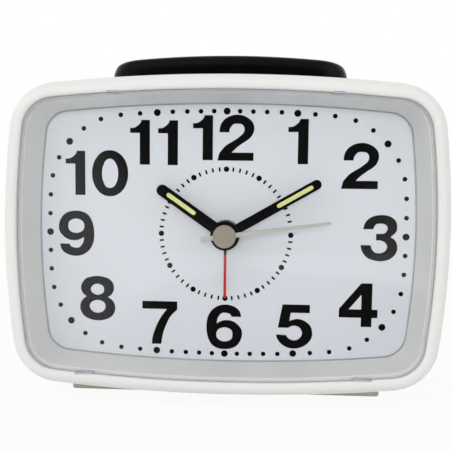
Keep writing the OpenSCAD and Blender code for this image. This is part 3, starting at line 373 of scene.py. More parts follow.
# Meshes: rings of points skinned into closed shells, in the dial frame until they are settled
def arcsOf(halfWide, halfHigh, sideBow, topBow, corner):
    side, top = Vector((halfWide - sideBow, 0)), Vector((0, halfHigh - topBow))
    toSide, toTop, span = sideBow - corner, topBow - corner, (top - side).length
    way = (top - side) / span
    along = (toSide ** 2 - toTop ** 2 + span ** 2) / (2 * span)
    across = math.sqrt(toSide ** 2 - along ** 2) * Vector((-way.y, way.x))
    middle = max((side + along * way + across, side + along * way - across), key=lambda c: c.y)
    turnSide = math.atan2(*(middle - side).yx)
    turnTop = math.atan2(*(middle - top).yx)
    return [(side, sideBow, 0, turnSide), (middle, corner, turnSide, turnTop), (top, topBow, turnTop, math.pi / 2)]


def outlineOf(arcs, inset, steps):
    quarter = []
    for (middle, radius, start, end), count in zip(arcs, steps):
        for k in range(count):
            a = start + (end - start) * k / count
            quarter.append(middle + (radius - inset) * Vector((math.cos(a), math.sin(a))))
    top = arcs[2][0] + Vector((0, arcs[2][1] - inset))
    rest = quarter[:0:-1]
    return (quarter + [top] + [Vector((-p.x, p.y)) for p in rest] + [-p for p in quarter] + [-top]
            + [Vector((p.x, -p.y)) for p in rest])


def smoothRun(points, steps):  # a smooth line through the points
    run = []
    for i in range(len(points) - 1):
        a, b, c, d = (Vector(points[max(0, min(len(points) - 1, i + j))]) for j in (-1, 0, 1, 2))
        for k in range(steps):
            t = k / steps
            run.append(0.5 * (2 * b + (c - a) * t + (2 * a - 5 * b + 4 * c - d) * t ** 2
                              + (3 * b - a - 3 * c + d) * t ** 3))
    return run + [Vector(points[-1])]


def skinRings(bm, rings, closed=False, ribbons=False):
    loops = [[bm.verts.new(p) for p in ring] for ring in rings]
    n = len(loops[0])
    for lower, upper in zip(loops, loops[1:] + (loops[:1] if closed else [])):
        for i in range(n):
            bm.faces.new((lower[i], lower[(i + 1) % n], upper[(i + 1) % n], upper[i]))
    for loop in ([] if closed else (loops[0], loops[-1])):
        if ribbons:  # cross strips follow a crowned end better than one flat face
            bm.faces.new((loop[0], loop[1], loop[n - 1]))
            for i in range(1, n // 2 - 1):
                bm.faces.new((loop[i], loop[i + 1], loop[n - i - 1], loop[n - i]))
            bm.faces.new((loop[n // 2 - 1], loop[n // 2], loop[n // 2 + 1]))
        else:
            bm.faces.new(loop)


def meshObject(name, bm, matrix=toWorld, outward=True):
    if matrix is not None:
        bmesh.ops.transform(bm, matrix=matrix, verts=bm.verts)
    if outward:
        bmesh.ops.recalc_face_normals(bm, faces=bm.faces)
    mesh = bpy.data.meshes.new(name)
    bm.to_mesh(mesh)
    bm.free()
    return linked(name, mesh)


def settle(obj, smooth=None, matrix=None):  # modifiers become a plain mesh on the same object
    bpy.context.view_layer.update()
    graph = bpy.context.evaluated_depsgraph_get()
    mesh = bpy.data.meshes.new_from_object(obj.evaluated_get(graph), preserve_all_data_layers=True, depsgraph=graph)
    obj.modifiers.clear()
    old, obj.data = obj.data, mesh
    bpy.data.meshes.remove(old)
    mesh.name = obj.name
    if matrix is not None:
        mesh.transform(matrix)
    if smooth is not None:
        mesh.shade_smooth()
        mesh.set_sharp_from_angle(angle=math.radians(smooth))
    return obj


def softenEdges(obj, width, angle):
    bevel = obj.modifiers.new("edges", "BEVEL")
    bevel.width, bevel.segments, bevel.limit_method = width * mm, 2, "ANGLE"
    bevel.angle_limit, bevel.harden_normals, bevel.use_clamp_overlap = math.radians(angle), False, True
    bevel.miter_outer = "MITER_ARC"


def finishPiece(obj, body, slot=None, replaced=(), material=None):
    obj.data.materials.clear()
    obj.data.materials.append(material or finishes[slot])
    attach(obj, body)
    if replaced:
        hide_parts(*replaced)
    return obj


refineForm = {"merge": 2e-6, "flat": 0.6, "angle": 40, "smooth": 32, "broad": 4e-6, "level": 0.9999}


def refined(node, name, body, edge):  # a merged copy of a solid with its edges eased
    s = refineForm
    bm = bmesh.new()
    bm.from_mesh(nodes[node].data)
    bmesh.ops.remove_doubles(bm, verts=bm.verts, dist=s["merge"])
    bmesh.ops.dissolve_limit(bm, angle_limit=math.radians(s["flat"]), verts=bm.verts, edges=bm.edges)
    obj = meshObject(name, bm, None, outward=False)
    if edge:
        softenEdges(obj, edge, s["angle"])
    settle(obj, s["smooth"])
    for face in obj.data.polygons:  # broad level faces keep their own normal
        if face.area > s["broad"] and max(abs(c) for c in face.normal) > s["level"]:
            face.use_smooth = False
    return finishPiece(obj, body, slotOf[node], (node,))


# Geometry Nodes rules: each tree has named inputs, and its result is settled into a plain mesh
def newRule(name, inputs):
    tree = bpy.data.node_groups.new(name, "GeometryNodeTree")
    tree.interface.new_socket("Geometry", in_out="INPUT", socket_type="NodeSocketGeometry")
    for label, kind in inputs.items():
        tree.interface.new_socket(label, in_out="INPUT", socket_type="NodeSocket" + kind)
    tree.interface.new_socket("Geometry", in_out="OUTPUT", socket_type="NodeSocketGeometry")
    rule = Wiring(tree)
    entry = tree.nodes.new("NodeGroupInput")
    return rule, {socket.name: Wire(rule, socket) for socket in entry.outputs if socket.name}


def closeRule(rule, shape, material):
    real = rule.make("GeometryNodeRealizeInstances", {"Geometry": shape})
    shown = rule.make("GeometryNodeSetMaterial", {"Geometry": real, "Material": material})
    rule.make("NodeGroupOutput", {"Geometry": shown})
    return rule.tree


def runRule(obj, tree, values, smooth=None, matrix=None):
    modifier = obj.modifiers.new(tree.name, "NODES")
    modifier.node_group = tree
    for item in tree.interface.items_tree:
        if item.in_out == "INPUT" and item.name in values:
            modifier[item.identifier] = values[item.name]
    settle(obj, smooth, matrix)


def loopMesh(name, points, left=0):  # points joined by edges, of which the last ones may be left out
    mesh = bpy.data.meshes.new(name)
    n = len(points)
    mesh.from_pydata([tuple(p) + (0.0,) * (3 - len(p)) for p in points],
                     [(k, (k + 1) % n) for k in range(n - left)], [])
    return linked(name, mesh)


def sweepRule():  # a section carried round a flat outline
    rule, given = newRule("sectionSweep", {"Section": "Object", "Material": "Material"})
    path = rule.make("GeometryNodeMeshToCurve", {"Mesh": given["Geometry"]})
    path = rule.make("GeometryNodeSetCurveNormal", {"Curve": path}, mode="Z_UP")
    part = rule.make("GeometryNodeObjectInfo", {"Object": given["Section"]}, out="Geometry")
    section = rule.make("GeometryNodeMeshToCurve", {"Mesh": part})
    shape = rule.make("GeometryNodeCurveToMesh", {"Curve": path, "Profile Curve": section})
    return closeRule(rule, shape, given["Material"])


def piped(rule, path, sides, radius):  # a round section carried along a path
    ring = rule.make("GeometryNodeCurvePrimitiveCircle", {"Resolution": sides, "Radius": radius})
    return rule.make("GeometryNodeCurveToMesh", {"Curve": path, "Profile Curve": ring, "Fill Caps": True})


def placed(rule, given, shape, **more):  # a copy of a shape on each point
    return rule.make("GeometryNodeInstanceOnPoints", {"Points": given["Geometry"], "Instance": shape, **more})


def tubeRule():  # a round tube along a path
    rule, given = newRule("tubeAlong", {"Radius": "Float", "Sides": "Int", "Material": "Material"})
    path = rule.make("GeometryNodeMeshToCurve", {"Mesh": given["Geometry"]})
    return closeRule(rule, piped(rule, path, given["Sides"], given["Radius"]), given["Material"])


def coilRule():  # wire wound on a round or tapering former
    rule, given = newRule("coilWound", {"Turns": "Float", "Start": "Float", "End": "Float", "Height": "Float",
                                        "Wire": "Float", "Steps": "Int", "Sides": "Int", "Material": "Material"})
    path = rule.make("GeometryNodeCurveSpiral", {"Resolution": given["Steps"], "Rotations": given["Turns"],
                                                 "Start Radius": given["Start"], "End Radius": given["End"],
                                                 "Height": given["Height"]})
    coil = piped(rule, path, given["Sides"], given["Wire"])
    return closeRule(rule, placed(rule, given, coil), given["Material"])


sweep, tube, wound = sweepRule(), tubeRule(), coilRule()


# Front case: one wall section swept round the outline, then cut for the bar and the lens tabs
caseForm = {"halfWide": 65.0, "halfHigh": 47.0, "sideBow": 250.0, "topBow": 500.0, "corner": 14.5,
            "rim": [(4.95, 14.2), (4.83, 14.6), (4.5, 14.88), (3.8, 15.0), (2.8, 14.7), (1.8, 13.9), (0.8, 12.4),
                    (0.2, 10.4), (0.0, 8.0)],
            "wall": [(0.04, 4.0), (0.15, 0.0), (0.8, -15.3), (1.66, -36.0), (1.9, -36.5), (3.95, -36.5), (2.4, 0.0),
                     (2.4, 8.0), (3.0, 10.3), (4.5, 10.6), (5.7, 0.4), (6.98, 0.4), (7.05, 0.48), (5.75, 11.85),
                     (5.6, 12.0), (4.95, 12.0)],
            "steps": (14, 22, 26), "tabTop": 31.7, "tabBottom": 40.6, "upperHalf": 1.55, "lowerHalf": 2.6,
            "tabIn": 1.0, "tabOut": 0.3, "tabFit": 0, "tabCut": (12.0, 16.0), "lensInset": 4.95, "barCut": (30.0, 60.0),
            "pegX": 30.0, "pegBack": 18.0, "pegR": 2.0, "pegCut": (-52.0, -40.0), "edge": 0.22, "angle": 50,
            "rimSteps": 4, "smooth": 34}
barForm = {"halfLong": 37.8, "halfDeep": 12.0, "endBow": 60.0, "sideBow": 900.0, "corner": 10.0, "gap": 0.4,
           "steps": (10, 14, 18), "back": 16.0, "top": 55.7, "crown": 340.0, "bottom": 43.2,
           "section": [(7.0, 0.0), (5.5, 0.03), (4.0, 0.08), (2.2, 0.38), (1.05, 1.05), (0.33, 2.4), (0.0, 3.9),
                       (0.0, 7.0)],
           "under": [(0, 0.3), (0.09, 0.09), (0.3, 0), (2.8, 0), (3.0, 0.2), (3.2, 7.3)], "runSteps": 3, "smooth": 34,
           "postX": 22.0, "post": [(1.9, 36.0), (2.2, 36.3), (2.2, 50.6)],
           "stem": [(1.2, 31.0), (1.5, 31.3), (1.5, 50.6)]}
caseArcs = arcsOf(*(caseForm[k] for k in ("halfWide", "halfHigh", "sideBow", "topBow", "corner")))
barArcs = arcsOf(*(barForm[k] for k in ("halfLong", "halfDeep", "endBow", "sideBow", "corner")))


def lensEdge(x):  # height of the lens opening's edge at a distance from the middle
    c = caseForm
    return c["halfHigh"] - c["topBow"] + math.sqrt((c["topBow"] - c["lensInset"]) ** 2 - x * x)


def boxInto(bm, x0, x1, y0, y1, h0, h1):
    corners = [(x, y, h) for h in (h0, h1) for x, y in ((x0, y0), (x1, y0), (x1, y1), (x0, y1))]
    v = [bm.verts.new(p) for p in corners]
    for face in ((3, 2, 1, 0), (4, 5, 6, 7), (0, 1, 5, 4), (1, 2, 6, 5), (2, 3, 7, 6), (3, 0, 4, 7)):
        bm.faces.new([v[k] for k in face])


def tabBoxes(bm, s):  # the four lens tabs, or the notches for them
    c = caseForm
    for side in (-1, 1):
        for away, up, half in ((c["tabTop"], 1, c["upperHalf"]), (c["tabBottom"], -1, c["lowerHalf"])):
            x, y = side * away, up * lensEdge(away)
            low, high = sorted((y - up * s["tabIn"], y + up * s["tabOut"]))
            boxInto(bm, x - half + s["tabFit"], x + half - s["tabFit"], low, high, *s["tabCut"])


def turnsOf(count):
    return [2 * math.pi * k / count for k in range(count)]


def uprightRing(middle, radius, level, back, sides=24):  # a level circle, seen from above
    return [(middle + radius * math.cos(a), level, -back + radius * math.sin(a)) for a in turnsOf(sides)]


def swept(name, corners, material, smooth=None, matrix=None):  # corners by inset and level, round the case's outline
    section = loopMesh(name + "Section", [(-p[0], -p[1]) for p in corners])
    shell = loopMesh(name, outlineOf(caseArcs, 0, caseForm["steps"]))
    runRule(shell, sweep, {"Section": section, "Material": material}, smooth, matrix)
    bpy.data.objects.remove(section)
    return shell


def frontCase(s):
    case = swept("caseShell", smoothRun(s["rim"], s["rimSteps"]) + s["wall"], finishes["case_white"])
    bm = bmesh.new()
    opening = outlineOf(barArcs, -barForm["gap"], barForm["steps"])
    skinRings(bm, [[(p.x, y, p.y - barForm["back"]) for p in opening] for y in s["barCut"]])
    tabBoxes(bm, s)
    for x in (-s["pegX"], s["pegX"]):
        skinRings(bm, [uprightRing(x, s["pegR"], y, s["pegBack"]) for y in s["pegCut"]])
    cutter = meshObject("caseCuts", bm, None)
    cut = case.modifiers.new("cuts", "BOOLEAN")
    cut.operation, cut.solver, cut.object = "DIFFERENCE", "EXACT", cutter
    settle(case, matrix=toWorld)
    bpy.data.objects.remove(cutter)
    softenEdges(case, s["edge"], s["angle"])
    settle(case, s["smooth"])
    finishPiece(case, "case", "case_white", ("front_case",))


frontCase(caseForm)

# Lens: domed on both faces, with four small tabs that sit in the notches of the rim
lensForm = {"inset": 5.05, "steps": (10, 18, 18), "flat": 14.0, "ground": 13.1, "seat": 12.0, "dome": 0.8,
            "ease": [(0.3, 0), (0.09, 0.09), (0, 0.3)], "tabFit": 0.05, "tabIn": 0.16, "tabOut": 0.25,
            "tabCut": (12.2, 14.4), "smooth": 30,
            "shares": [0.06, 0.16, 0.26, 0.36, 0.46, 0.56, 0.66, 0.75, 0.83, 0.9, 0.96]}


def lensPiece(s):
    base = outlineOf(caseArcs, s["inset"], s["steps"])

    def domed(share, level):
        return [(p.x * share, p.y * share, level + s["dome"] * (1 - share ** 2)) for p in base]

    def edge(more, level):
        return [(p.x, p.y, level) for p in outlineOf(caseArcs, s["inset"] + more, s["steps"])]

    bm = bmesh.new()
    rings = [domed(share, s["flat"]) for share in s["shares"]]
    rings += [edge(more, s["flat"] - drop) for more, drop in s["ease"]] + [edge(0, s["ground"]), edge(0, s["seat"])]
    rings += [domed(share, s["seat"]) for share in reversed(s["shares"])]
    skinRings(bm, rings, ribbons=True)
    tabBoxes(bm, s)
    lens = settle(meshObject("clearLens", bm), s["smooth"])
    finishPiece(lens, "case", "lens_clear", ("lens",))
    # the edge bands and tabs take the grey edge finish: painted shade for the dark line at the lens's edge
    lens.data.materials.append(lensEdgeShadeFinish)
    start, firstTab = len(s["shares"]), len(lens.data.polygons) - 4 * 6  # the rim's bands, and four boxes at the end
    for face in lens.data.polygons:
        if face.index >= firstTab or start <= face.index // len(base) < start + len(s["ease"]):
            face.material_index = 1


lensPiece(lensForm)

# Grey strip in the seam between the case's tunnel and the dial: painted shade, a piece that stands in for the shadow
# line at the dial's edge
dialEdgeShadeForm = {"outer": 6.6, "inner": 7.42, "tall": 0.32, "foot": 0.06, "lip": 0.08, "lean": 0.1, "smooth": 50}


def dialSeal(s):
    corners = [(s["outer"], 0.0), (s["inner"] - s["foot"], 0.0), (s["inner"], s["lip"]),
               (s["inner"] - s["lean"], s["tall"]), (s["outer"], s["tall"])]
    finishPiece(swept("dialSeal", corners, dialEdgeShadeFinish, s["smooth"], toWorld), "case", material=dialEdgeShadeFinish)


dialSeal(dialEdgeShadeForm)


# Snooze bar: a crowned cap, hollow below, with two guide posts and the stem that meets the contact
def snoozeBar(s):
    def ring(inset, level):
        return [(p.x, level(p.x), p.y - s["back"]) for p in outlineOf(barArcs, inset, s["steps"])]

    def crowned(inset, drop):
        return ring(inset, lambda x: s["top"] - drop - x * x / (2 * s["crown"]))

    def below(inset, rise):
        return ring(inset, lambda x: s["bottom"] + rise)

    bm = bmesh.new()
    rings = [crowned(*p) for p in smoothRun(s["section"], s["runSteps"])] + [below(*p) for p in s["under"]]
    skinRings(bm, rings, ribbons=True)
    for x in (-s["postX"], s["postX"]):
        skinRings(bm, [uprightRing(x, r, z, s["back"]) for r, z in s["post"]])
    skinRings(bm, [uprightRing(0, r, z, s["back"]) for r, z in s["stem"]])
    bar = settle(meshObject("snoozeCap", bm), s["smooth"])
    finishPiece(bar, "snooze", "bar_black", ("snooze_bar",))


snoozeBar(barForm)
print("case, lens and bar made")

# Printed dial: numerals drawn as outlines on a grid of 100 units, corners marked with a third value
digitForms = {
    "1": [[(26, 100, 1), (45, 100, 1), (45, 0, 1), (22, 0, 1), (22, 71, 1), (0, 71, 1), (0, 82, 1), (10, 83), (18, 88),
           (24, 94)]],
    "2": [[(0, 0, 1), (2, 8), (4, 16), (10, 24), (17, 32), (24, 37), (42, 48), (51, 55), (58, 62), (60, 70), (58, 77),
           (53, 81), (45, 82), (36, 81), (30, 75), (27, 70), (26, 63, 1), (4, 63, 1), (5, 73), (9, 84), (17, 93),
           (28, 99), (45, 102), (60, 99), (72, 92), (79, 84), (82, 72), (80, 62), (75, 53), (67, 46), (55, 38),
           (42, 28), (32, 18, 1), (81, 18, 1), (81, 0, 1)]],
    "3": [[(5, 70, 1), (27, 70, 1), (30, 77), (35, 82), (43, 83), (51, 82), (57, 78), (59, 71), (57, 66), (52, 61),
           (44, 60), (34, 60, 1), (34, 45, 1), (44, 45), (52, 42), (57, 37), (59, 31), (57, 24), (50, 18), (40, 16),
           (32, 18), (26, 24), (24, 29), (22, 34, 1), (0, 34, 1), (2, 24), (8, 13), (18, 4), (30, 0), (43, -2),
           (58, 0), (70, 6), (78, 15), (82, 28), (80, 38), (76, 46), (66, 53, 1), (74, 60), (79, 67), (80, 76),
           (78, 86), (72, 94), (61, 100), (43, 102), (27, 99), (15, 92), (8, 82)]],
    "4": [[(49, 100, 1), (74, 100, 1), (74, 40, 1), (87, 40, 1), (87, 21, 1), (74, 21, 1), (74, 0, 1), (50, 0, 1),
           (50, 21, 1), (0, 21, 1), (0, 41, 1)], [(50, 74, 1), (50, 40, 1), (22, 40, 1)]],
    "5": [[(14, 100, 1), (76, 100, 1), (76, 81, 1), (33, 81, 1), (30, 62, 1), (38, 65), (48, 67), (59, 65), (70, 59),
           (78, 51), (82, 39), (82, 27), (77, 16), (68, 7), (57, 1), (42, -2), (27, 0), (15, 6), (7, 14), (2, 22),
           (0, 30, 1), (23, 29, 1), (27, 23), (33, 19), (41, 17), (49, 19), (56, 25), (59, 32), (58, 40), (53, 47),
           (47, 50), (42, 51), (35, 50), (28, 46, 1), (4, 46, 1)]],
    "6": [[(80, 74, 1), (76, 87), (68, 95), (57, 100), (44, 102), (30, 100), (17, 93), (8, 83), (2, 69), (0, 52),
           (1, 36), (6, 19), (14, 7), (27, 0), (41, -2), (57, 0), (70, 7), (78, 18), (82, 32), (80, 46), (72, 56),
           (62, 63), (48, 66), (35, 64), (24, 58, 1), (25, 68), (30, 77), (35, 82), (42, 83), (49, 82), (54, 80),
           (58, 74, 1)],
          [(23, 32), (26, 23), (33, 18), (42, 16), (51, 18), (58, 23), (60, 32), (58, 42), (51, 47), (42, 49), (33, 47),
           (26, 42)]],
    "7": [[(0, 100, 1), (81, 100, 1), (81, 81, 1), (72, 73), (64, 63), (57, 49), (51, 34), (47, 19), (44, 0, 1),
           (22, 0, 1), (24, 17), (29, 33), (36, 50), (45, 66), (57, 82, 1), (0, 82, 1)]],
    "8": [[(15, 54, 1), (7, 61), (3, 69), (2, 77), (6, 87), (14, 96), (26, 100), (41, 102), (55, 100), (67, 96),
           (76, 87), (79, 77), (78, 68), (74, 60), (65, 53, 1), (75, 46), (80, 38), (82, 29), (80, 18), (73, 8),
           (60, 1), (41, -2), (23, 1), (10, 8), (2, 19), (0, 31), (2, 40), (7, 48)],
          [(25, 71), (28, 64), (34, 60), (41, 58), (48, 60), (54, 64), (56, 71), (54, 78), (48, 82), (41, 84), (33, 82),
           (28, 78)],
          [(22, 31), (25, 24), (32, 18), (41, 16), (50, 18), (57, 24), (59, 31), (57, 39), (50, 44), (41, 46), (32, 44),
           (25, 39)]],
    "0": [[(42, 102), (58, 98), (72, 86), (80, 70), (83, 50), (80, 30), (72, 14), (58, 2), (42, -2), (24, 2), (11, 14),
           (3, 30), (0, 50), (3, 70), (11, 86), (24, 98)],
          [(42, 83), (50, 79), (56, 70), (59, 61), (60, 50), (59, 38), (56, 29), (50, 20), (42, 17), (32, 20), (27, 29),
           (24, 38), (23, 50), (24, 61), (27, 70), (32, 79)]],
}
digitForms["9"] = [[(82 - p[0], 100 - p[1]) + p[2:] for p in line] for line in digitForms["6"]]
numeralPlaces = [("1", -7.31, 29.48), ("2", 2.76, 29.41), ("1", 21.7, 28.53), ("2", 40.49, 21.23), ("3", 46.88, -0.48),
                 ("4", 41.19, -21.27), ("5", 21.6, -28.33), ("6", -0.14, -29.05), ("7", -20.42, -28.14),
                 ("8", -40.1, -20.81), ("9", -46.66, -0.42), ("1", -46.84, 18.39), ("0", -36.02, 18.36),
                 ("1", -26.69, 27.94), ("1", -18.04, 27.87)]
printForm = {"capHigh": 13.6, "proud": 0.03, "dot": 0.72, "hourDot": 1.06, "trackWide": 54.94, "trackHigh": 37.54,
             "trackSide": 272.6, "trackTop": 452.6, "trackCorner": 24.5, "trackSteps": (60, 60, 90), "ring": 20.0,
             "ringDot": 0.85, "tickLong": 1.3, "tickWide": 0.56, "curveSteps": 5, "merge": 1e-4}


def printedNumerals(s):
    scale = s["capHigh"] / 100
    data = bpy.data.curves.new("dialNumerals", "CURVE")
    data.dimensions, data.fill_mode, data.resolution_u, data.extrude = "2D", "BOTH", s["curveSteps"], s["proud"]
    for digit, x, y in numeralPlaces:
        wide = max(p[0] for p in digitForms[digit][0])
        for line in digitForms[digit]:
            spline = data.splines.new("BEZIER")
            spline.bezier_points.add(len(line) - 1)
            spline.use_cyclic_u = True
            for point, p in zip(spline.bezier_points, line):
                point.co = ((p[0] - wide / 2) * scale + x, (p[1] - 50) * scale + y, 0)
                kind = "VECTOR" if len(p) == 3 else "AUTO"
                point.handle_left_type = point.handle_right_type = kind
    drawn = linked("numeralCurves", data)
    bpy.context.view_layer.update()
    graph = bpy.context.evaluated_depsgraph_get()
    mesh = bpy.data.meshes.new_from_object(drawn.evaluated_get(graph), depsgraph=graph)
    bpy.data.objects.remove(drawn)
    bm = bmesh.new()
    bm.from_mesh(mesh)
    bpy.data.meshes.remove(mesh)
    bmesh.ops.remove_doubles(bm, verts=bm.verts, dist=s["merge"])
    finishPiece(meshObject("dialNumerals", bm), "case", material=inkFinish)


def trackPoint(quarter, a):  # where a ray from the middle meets the dotted outline
    way = Vector((abs(math.sin(a)), abs(math.cos(a))))
    best = min(quarter, key=lambda p: abs(math.atan2(p.x, p.y) - math.atan2(way.x, way.y)))
    return math.copysign(best.length * way.x, math.sin(a)), math.copysign(best.length * way.y, math.cos(a))


def onHour(rule):  # every fifth point
    return (rule.make("GeometryNodeInputIndex") % 5) < 0.5


def dotRule():  # a round dot on each point, larger on every fifth
    rule, given = newRule("dotTrack", {"Dot": "Float", "Hour Dot": "Float", "Proud": "Float", "Material": "Material"})
    radius = given["Dot"] + onHour(rule) * (given["Hour Dot"] - given["Dot"])
    disc = rule.make("GeometryNodeMeshCylinder", {"Vertices": 32, "Radius": 1.0, "Depth": given["Proud"] * 2})
    size = rule.make("ShaderNodeCombineXYZ", {"X": radius, "Y": radius, "Z": 1.0})
    return closeRule(rule, placed(rule, given, disc, Scale=size), given["Material"])


def ringRule():  # the inner ring: a dot at each five minutes and a short stroke between
    rule, given = newRule("innerRing", {"Dot": "Float", "Long": "Float", "Wide": "Float", "Proud": "Float",
                                        "Material": "Material"})
    hour, deep = onHour(rule), given["Proud"] * 2
    disc = rule.make("GeometryNodeMeshCylinder", {"Vertices": 28, "Radius": given["Dot"], "Depth": deep})
    stroke = rule.make("GeometryNodeMeshCube", {"Size": rule.make("ShaderNodeCombineXYZ", {
        "X": given["Wide"], "Y": given["Long"], "Z": deep})})
    outward = rule.make("FunctionNodeAlignRotationToVector", {"Vector": rule.make("GeometryNodeInputPosition")},
                        axis="Y")
    dots = placed(rule, given, disc, Selection=hour)
    strokes = placed(rule, given, stroke, Selection=1 - hour, Rotation=outward)
    both = rule.tree.nodes.new("GeometryNodeJoinGeometry")
    for part in (dots, strokes):
        rule.tree.links.new(part.socket, both.inputs[0])
    return closeRule(rule, Wire(rule, both.outputs[0]), given["Material"])


def printedDots(s):
    arcs = arcsOf(s["trackWide"], s["trackHigh"], s["trackSide"], s["trackTop"], s["trackCorner"])
    quarter = outlineOf(arcs, 0, s["trackSteps"])[:sum(s["trackSteps"]) + 1]
    turns = [math.radians(6 * k) for k in range(60)]
    track = loopMesh("minuteDots", [trackPoint(quarter, a) for a in turns])
    runRule(track, dotRule(), {"Dot": s["dot"], "Hour Dot": s["hourDot"], "Proud": s["proud"], "Material": inkFinish},
            matrix=toWorld)
    finishPiece(track, "case", material=inkFinish)
    ring = loopMesh("innerRing", [(s["ring"] * math.sin(a), s["ring"] * math.cos(a)) for a in turns])
    runRule(ring, ringRule(), {"Dot": s["ringDot"], "Long": s["tickLong"], "Wide": s["tickWide"], "Proud": s["proud"],
                               "Material": inkFinish}, matrix=toWorld)
    finishPiece(ring, "case", material=inkFinish)


printedNumerals(printForm)
printedDots(printForm)
print("dial printed")

# Luminous strips on the hands, with a low rounded back
lumeForm = {"hour_lume": {"turn": 305, "from": 11.0, "to": 21.5, "wide": 1.3, "level": 4.7, "body": "hours"},
            "minute_lume": {"turn": 60, "from": 17.8, "to": 29.9, "wide": 1.25, "level": 6.7, "body": "minutes"}}
lumeBack = {"rings": [(1, -0.04), (1, 0.06), (0.86, 0.13), (0.55, 0.17), (0.1, 0.18)], "arc": 11, "smooth": 50}


def lumeStrip(node, s):
    half = s["wide"] / 2
    low, high, arc = s["from"] + half, s["to"] - half, lumeBack["arc"]

    def ring(share, level):  # a half circle at each end
        return [(share * half * math.cos(a), end + share * half * math.sin(a), level)
                for end, first in ((high, 0), (low, arc))
                for a in (math.pi * (first + k) / arc for k in range(arc + 1))]

    bm = bmesh.new()
    skinRings(bm, [ring(share, s["level"] + rise) for share, rise in lumeBack["rings"]])
    spin = Matrix.Rotation(-math.radians(s["turn"]), 4, "Z")
    strip = settle(meshObject(node.split("_")[0] + "Lume", bm, toWorld @ spin), lumeBack["smooth"])
    finishPiece(strip, s["body"], "lume", (node,))


for node, settings in lumeForm.items():
    lumeStrip(node, settings)

# Solids with their edges eased and finely rounded
easedPieces = [("base_plinth", "plinthFoot", "case", 0.3), ("rear_cover", "rearShell", "case", 0.25),
               ("battery_door", "batteryHatch", "door", 0.2), ("time_set_knob", "timeKnob", "time_setter", 0.25),
               ("alarm_set_knob", "alarmKnob", "alarm_setter", 0.25), ("alarm_switch", "switchSlider", "switch", 0.2),
               ("minute_hand", "minuteBlade", "minutes", 0.1), ("hour_hand", "hourBlade", "hours", 0.1),
               ("second_hand", "secondBlade", "seconds", 0.1), ("alarm_hand", "alarmBlade", "alarm", 0.1),
               ("battery", "dryCell", "case", 0.3)]
for node, name, body, edge in easedPieces:
    refined(node, name, body, edge)
print("eased solids:", len(easedPieces))

# Wound and soft pieces inside: springs, winding, leads and the foam ring
springForm = {"x": 22.0, "deep": 0.2, "base": 90.6, "radius": 3.2, "wire": 0.35, "tall": 9.6, "turns": 5.0,
              "pressed": 2.0, "steps": 40, "sides": 12}
contactForm = {"at": (-29.05, -31.45, -31.05), "wide": 4.6, "narrow": 2.6, "tall": 4.7, "wire": 0.3, "turns": 4.0,
               "steps": 36, "sides": 12}
windingForm = {"y": 19.0, "h": -15.9, "radius": 2.7, "wire": 0.14, "steps": 20, "sides": 6}
leadForm = {"battery": 0.55, "buzzer": 0.45, "sides": 14, "steps": 8, "pad": (-27.0, -23.9, -21.9)}
leadRuns = [("batteryLeadRed", "battery", [(30.1, -31.45, -21.5), (33.2, -25, -22.5), (29, -15, -27), (16, -1, -29),
                                           (2, 8, -29)], (-9, 13.2)),
            ("batteryLeadBlack", "battery", [(-30.1, -31.45, -21.5), (-33.2, -25, -22.5), (-31.5, -8, -26),
                                             (-28, 8, -28), (-23, 18, -28.5)], (-18.5, 22.5)),
            ("buzzerLeadRed", "buzzer", [(8, 22, -35.45), (3, 22.5, -33), (-3, 22, -30)], (-6.5, 21.5)),
            ("buzzerLeadBlack", "buzzer", [(4.2, 18.5, -35.75), (1.8, 18.2, -32.2), (-5, 17.6, -30)], (-9, 17.5))]
foamForm = {"inner": 12.0, "soft": 0.3, "ease": 0.3, "steps": 72, "smooth": 50}
woundSmooth = 60


def woundWire(name, node, slot, points, values, matrix=None):
    coil = loopMesh(name, points, len(points))
    given = dict(zip(("Turns", "Start", "End", "Height", "Wire", "Steps", "Sides"), values))
    runRule(coil, wound, {**given, "Material": finishes[slot]}, woundSmooth, matrix)
    return finishPiece(coil, "case", slot, (node,))


def woundPieces():
    s = springForm
    springs = woundWire("snoozeCoils", "snooze_springs", "steel",
                        [(x * mm, s["deep"] * mm, s["base"] * mm) for x in (-s["x"], s["x"])],
                        (s["turns"], s["radius"] * mm, s["radius"] * mm, s["tall"] * mm, s["wire"] * mm, s["steps"],
                         s["sides"]))
    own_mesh(springs)

    leaf = refined("snooze_contact", "snoozeLeaf", "case", 0)
    low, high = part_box("snooze_contact")
    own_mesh(leaf)

    c = contactForm
    turned = Matrix(((0, 0, 1, 0), (0, 1, 0, 0), (-1, 0, 0, 0), (0, 0, 0, 1)))
    woundWire("contactCoil", "contact_spring", "steel", [(0, 0, 0)],
              [c[k] for k in ("turns", "wide", "narrow", "tall", "wire", "steps", "sides")],
              toWorld @ Matrix.Translation(c["at"]) @ turned)

    w = windingForm
    low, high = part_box("coil_winding")
    long, radius = (high.x - low.x) / mm - 2 * w["wire"], w["radius"] - w["wire"]
    woundWire("copperWinding", "coil_winding", "copper", [(0, 0, 0)],
              (long / (2 * w["wire"]), radius, radius, long, w["wire"], w["steps"], w["sides"]),
              toWorld @ Matrix.Translation((low.x / mm + w["wire"], w["y"], w["h"])) @ turned)


def leadPiece(s, name, kind, points, pad):  # from its contact to a pad on the board
    material = leadBlack if name.endswith("Black") else finishes["wire"]
    run = smoothRun(points + [(*pad, h) for h in s["pad"]], s["steps"])
    path = loopMesh(name, [toWorld @ Vector(p) for p in run], left=1)
    runRule(path, tube, {"Radius": s[kind] * mm, "Sides": s["sides"], "Material": material}, woundSmooth)
    finishPiece(path, "case", "wire", (kind + "_leads",), material)


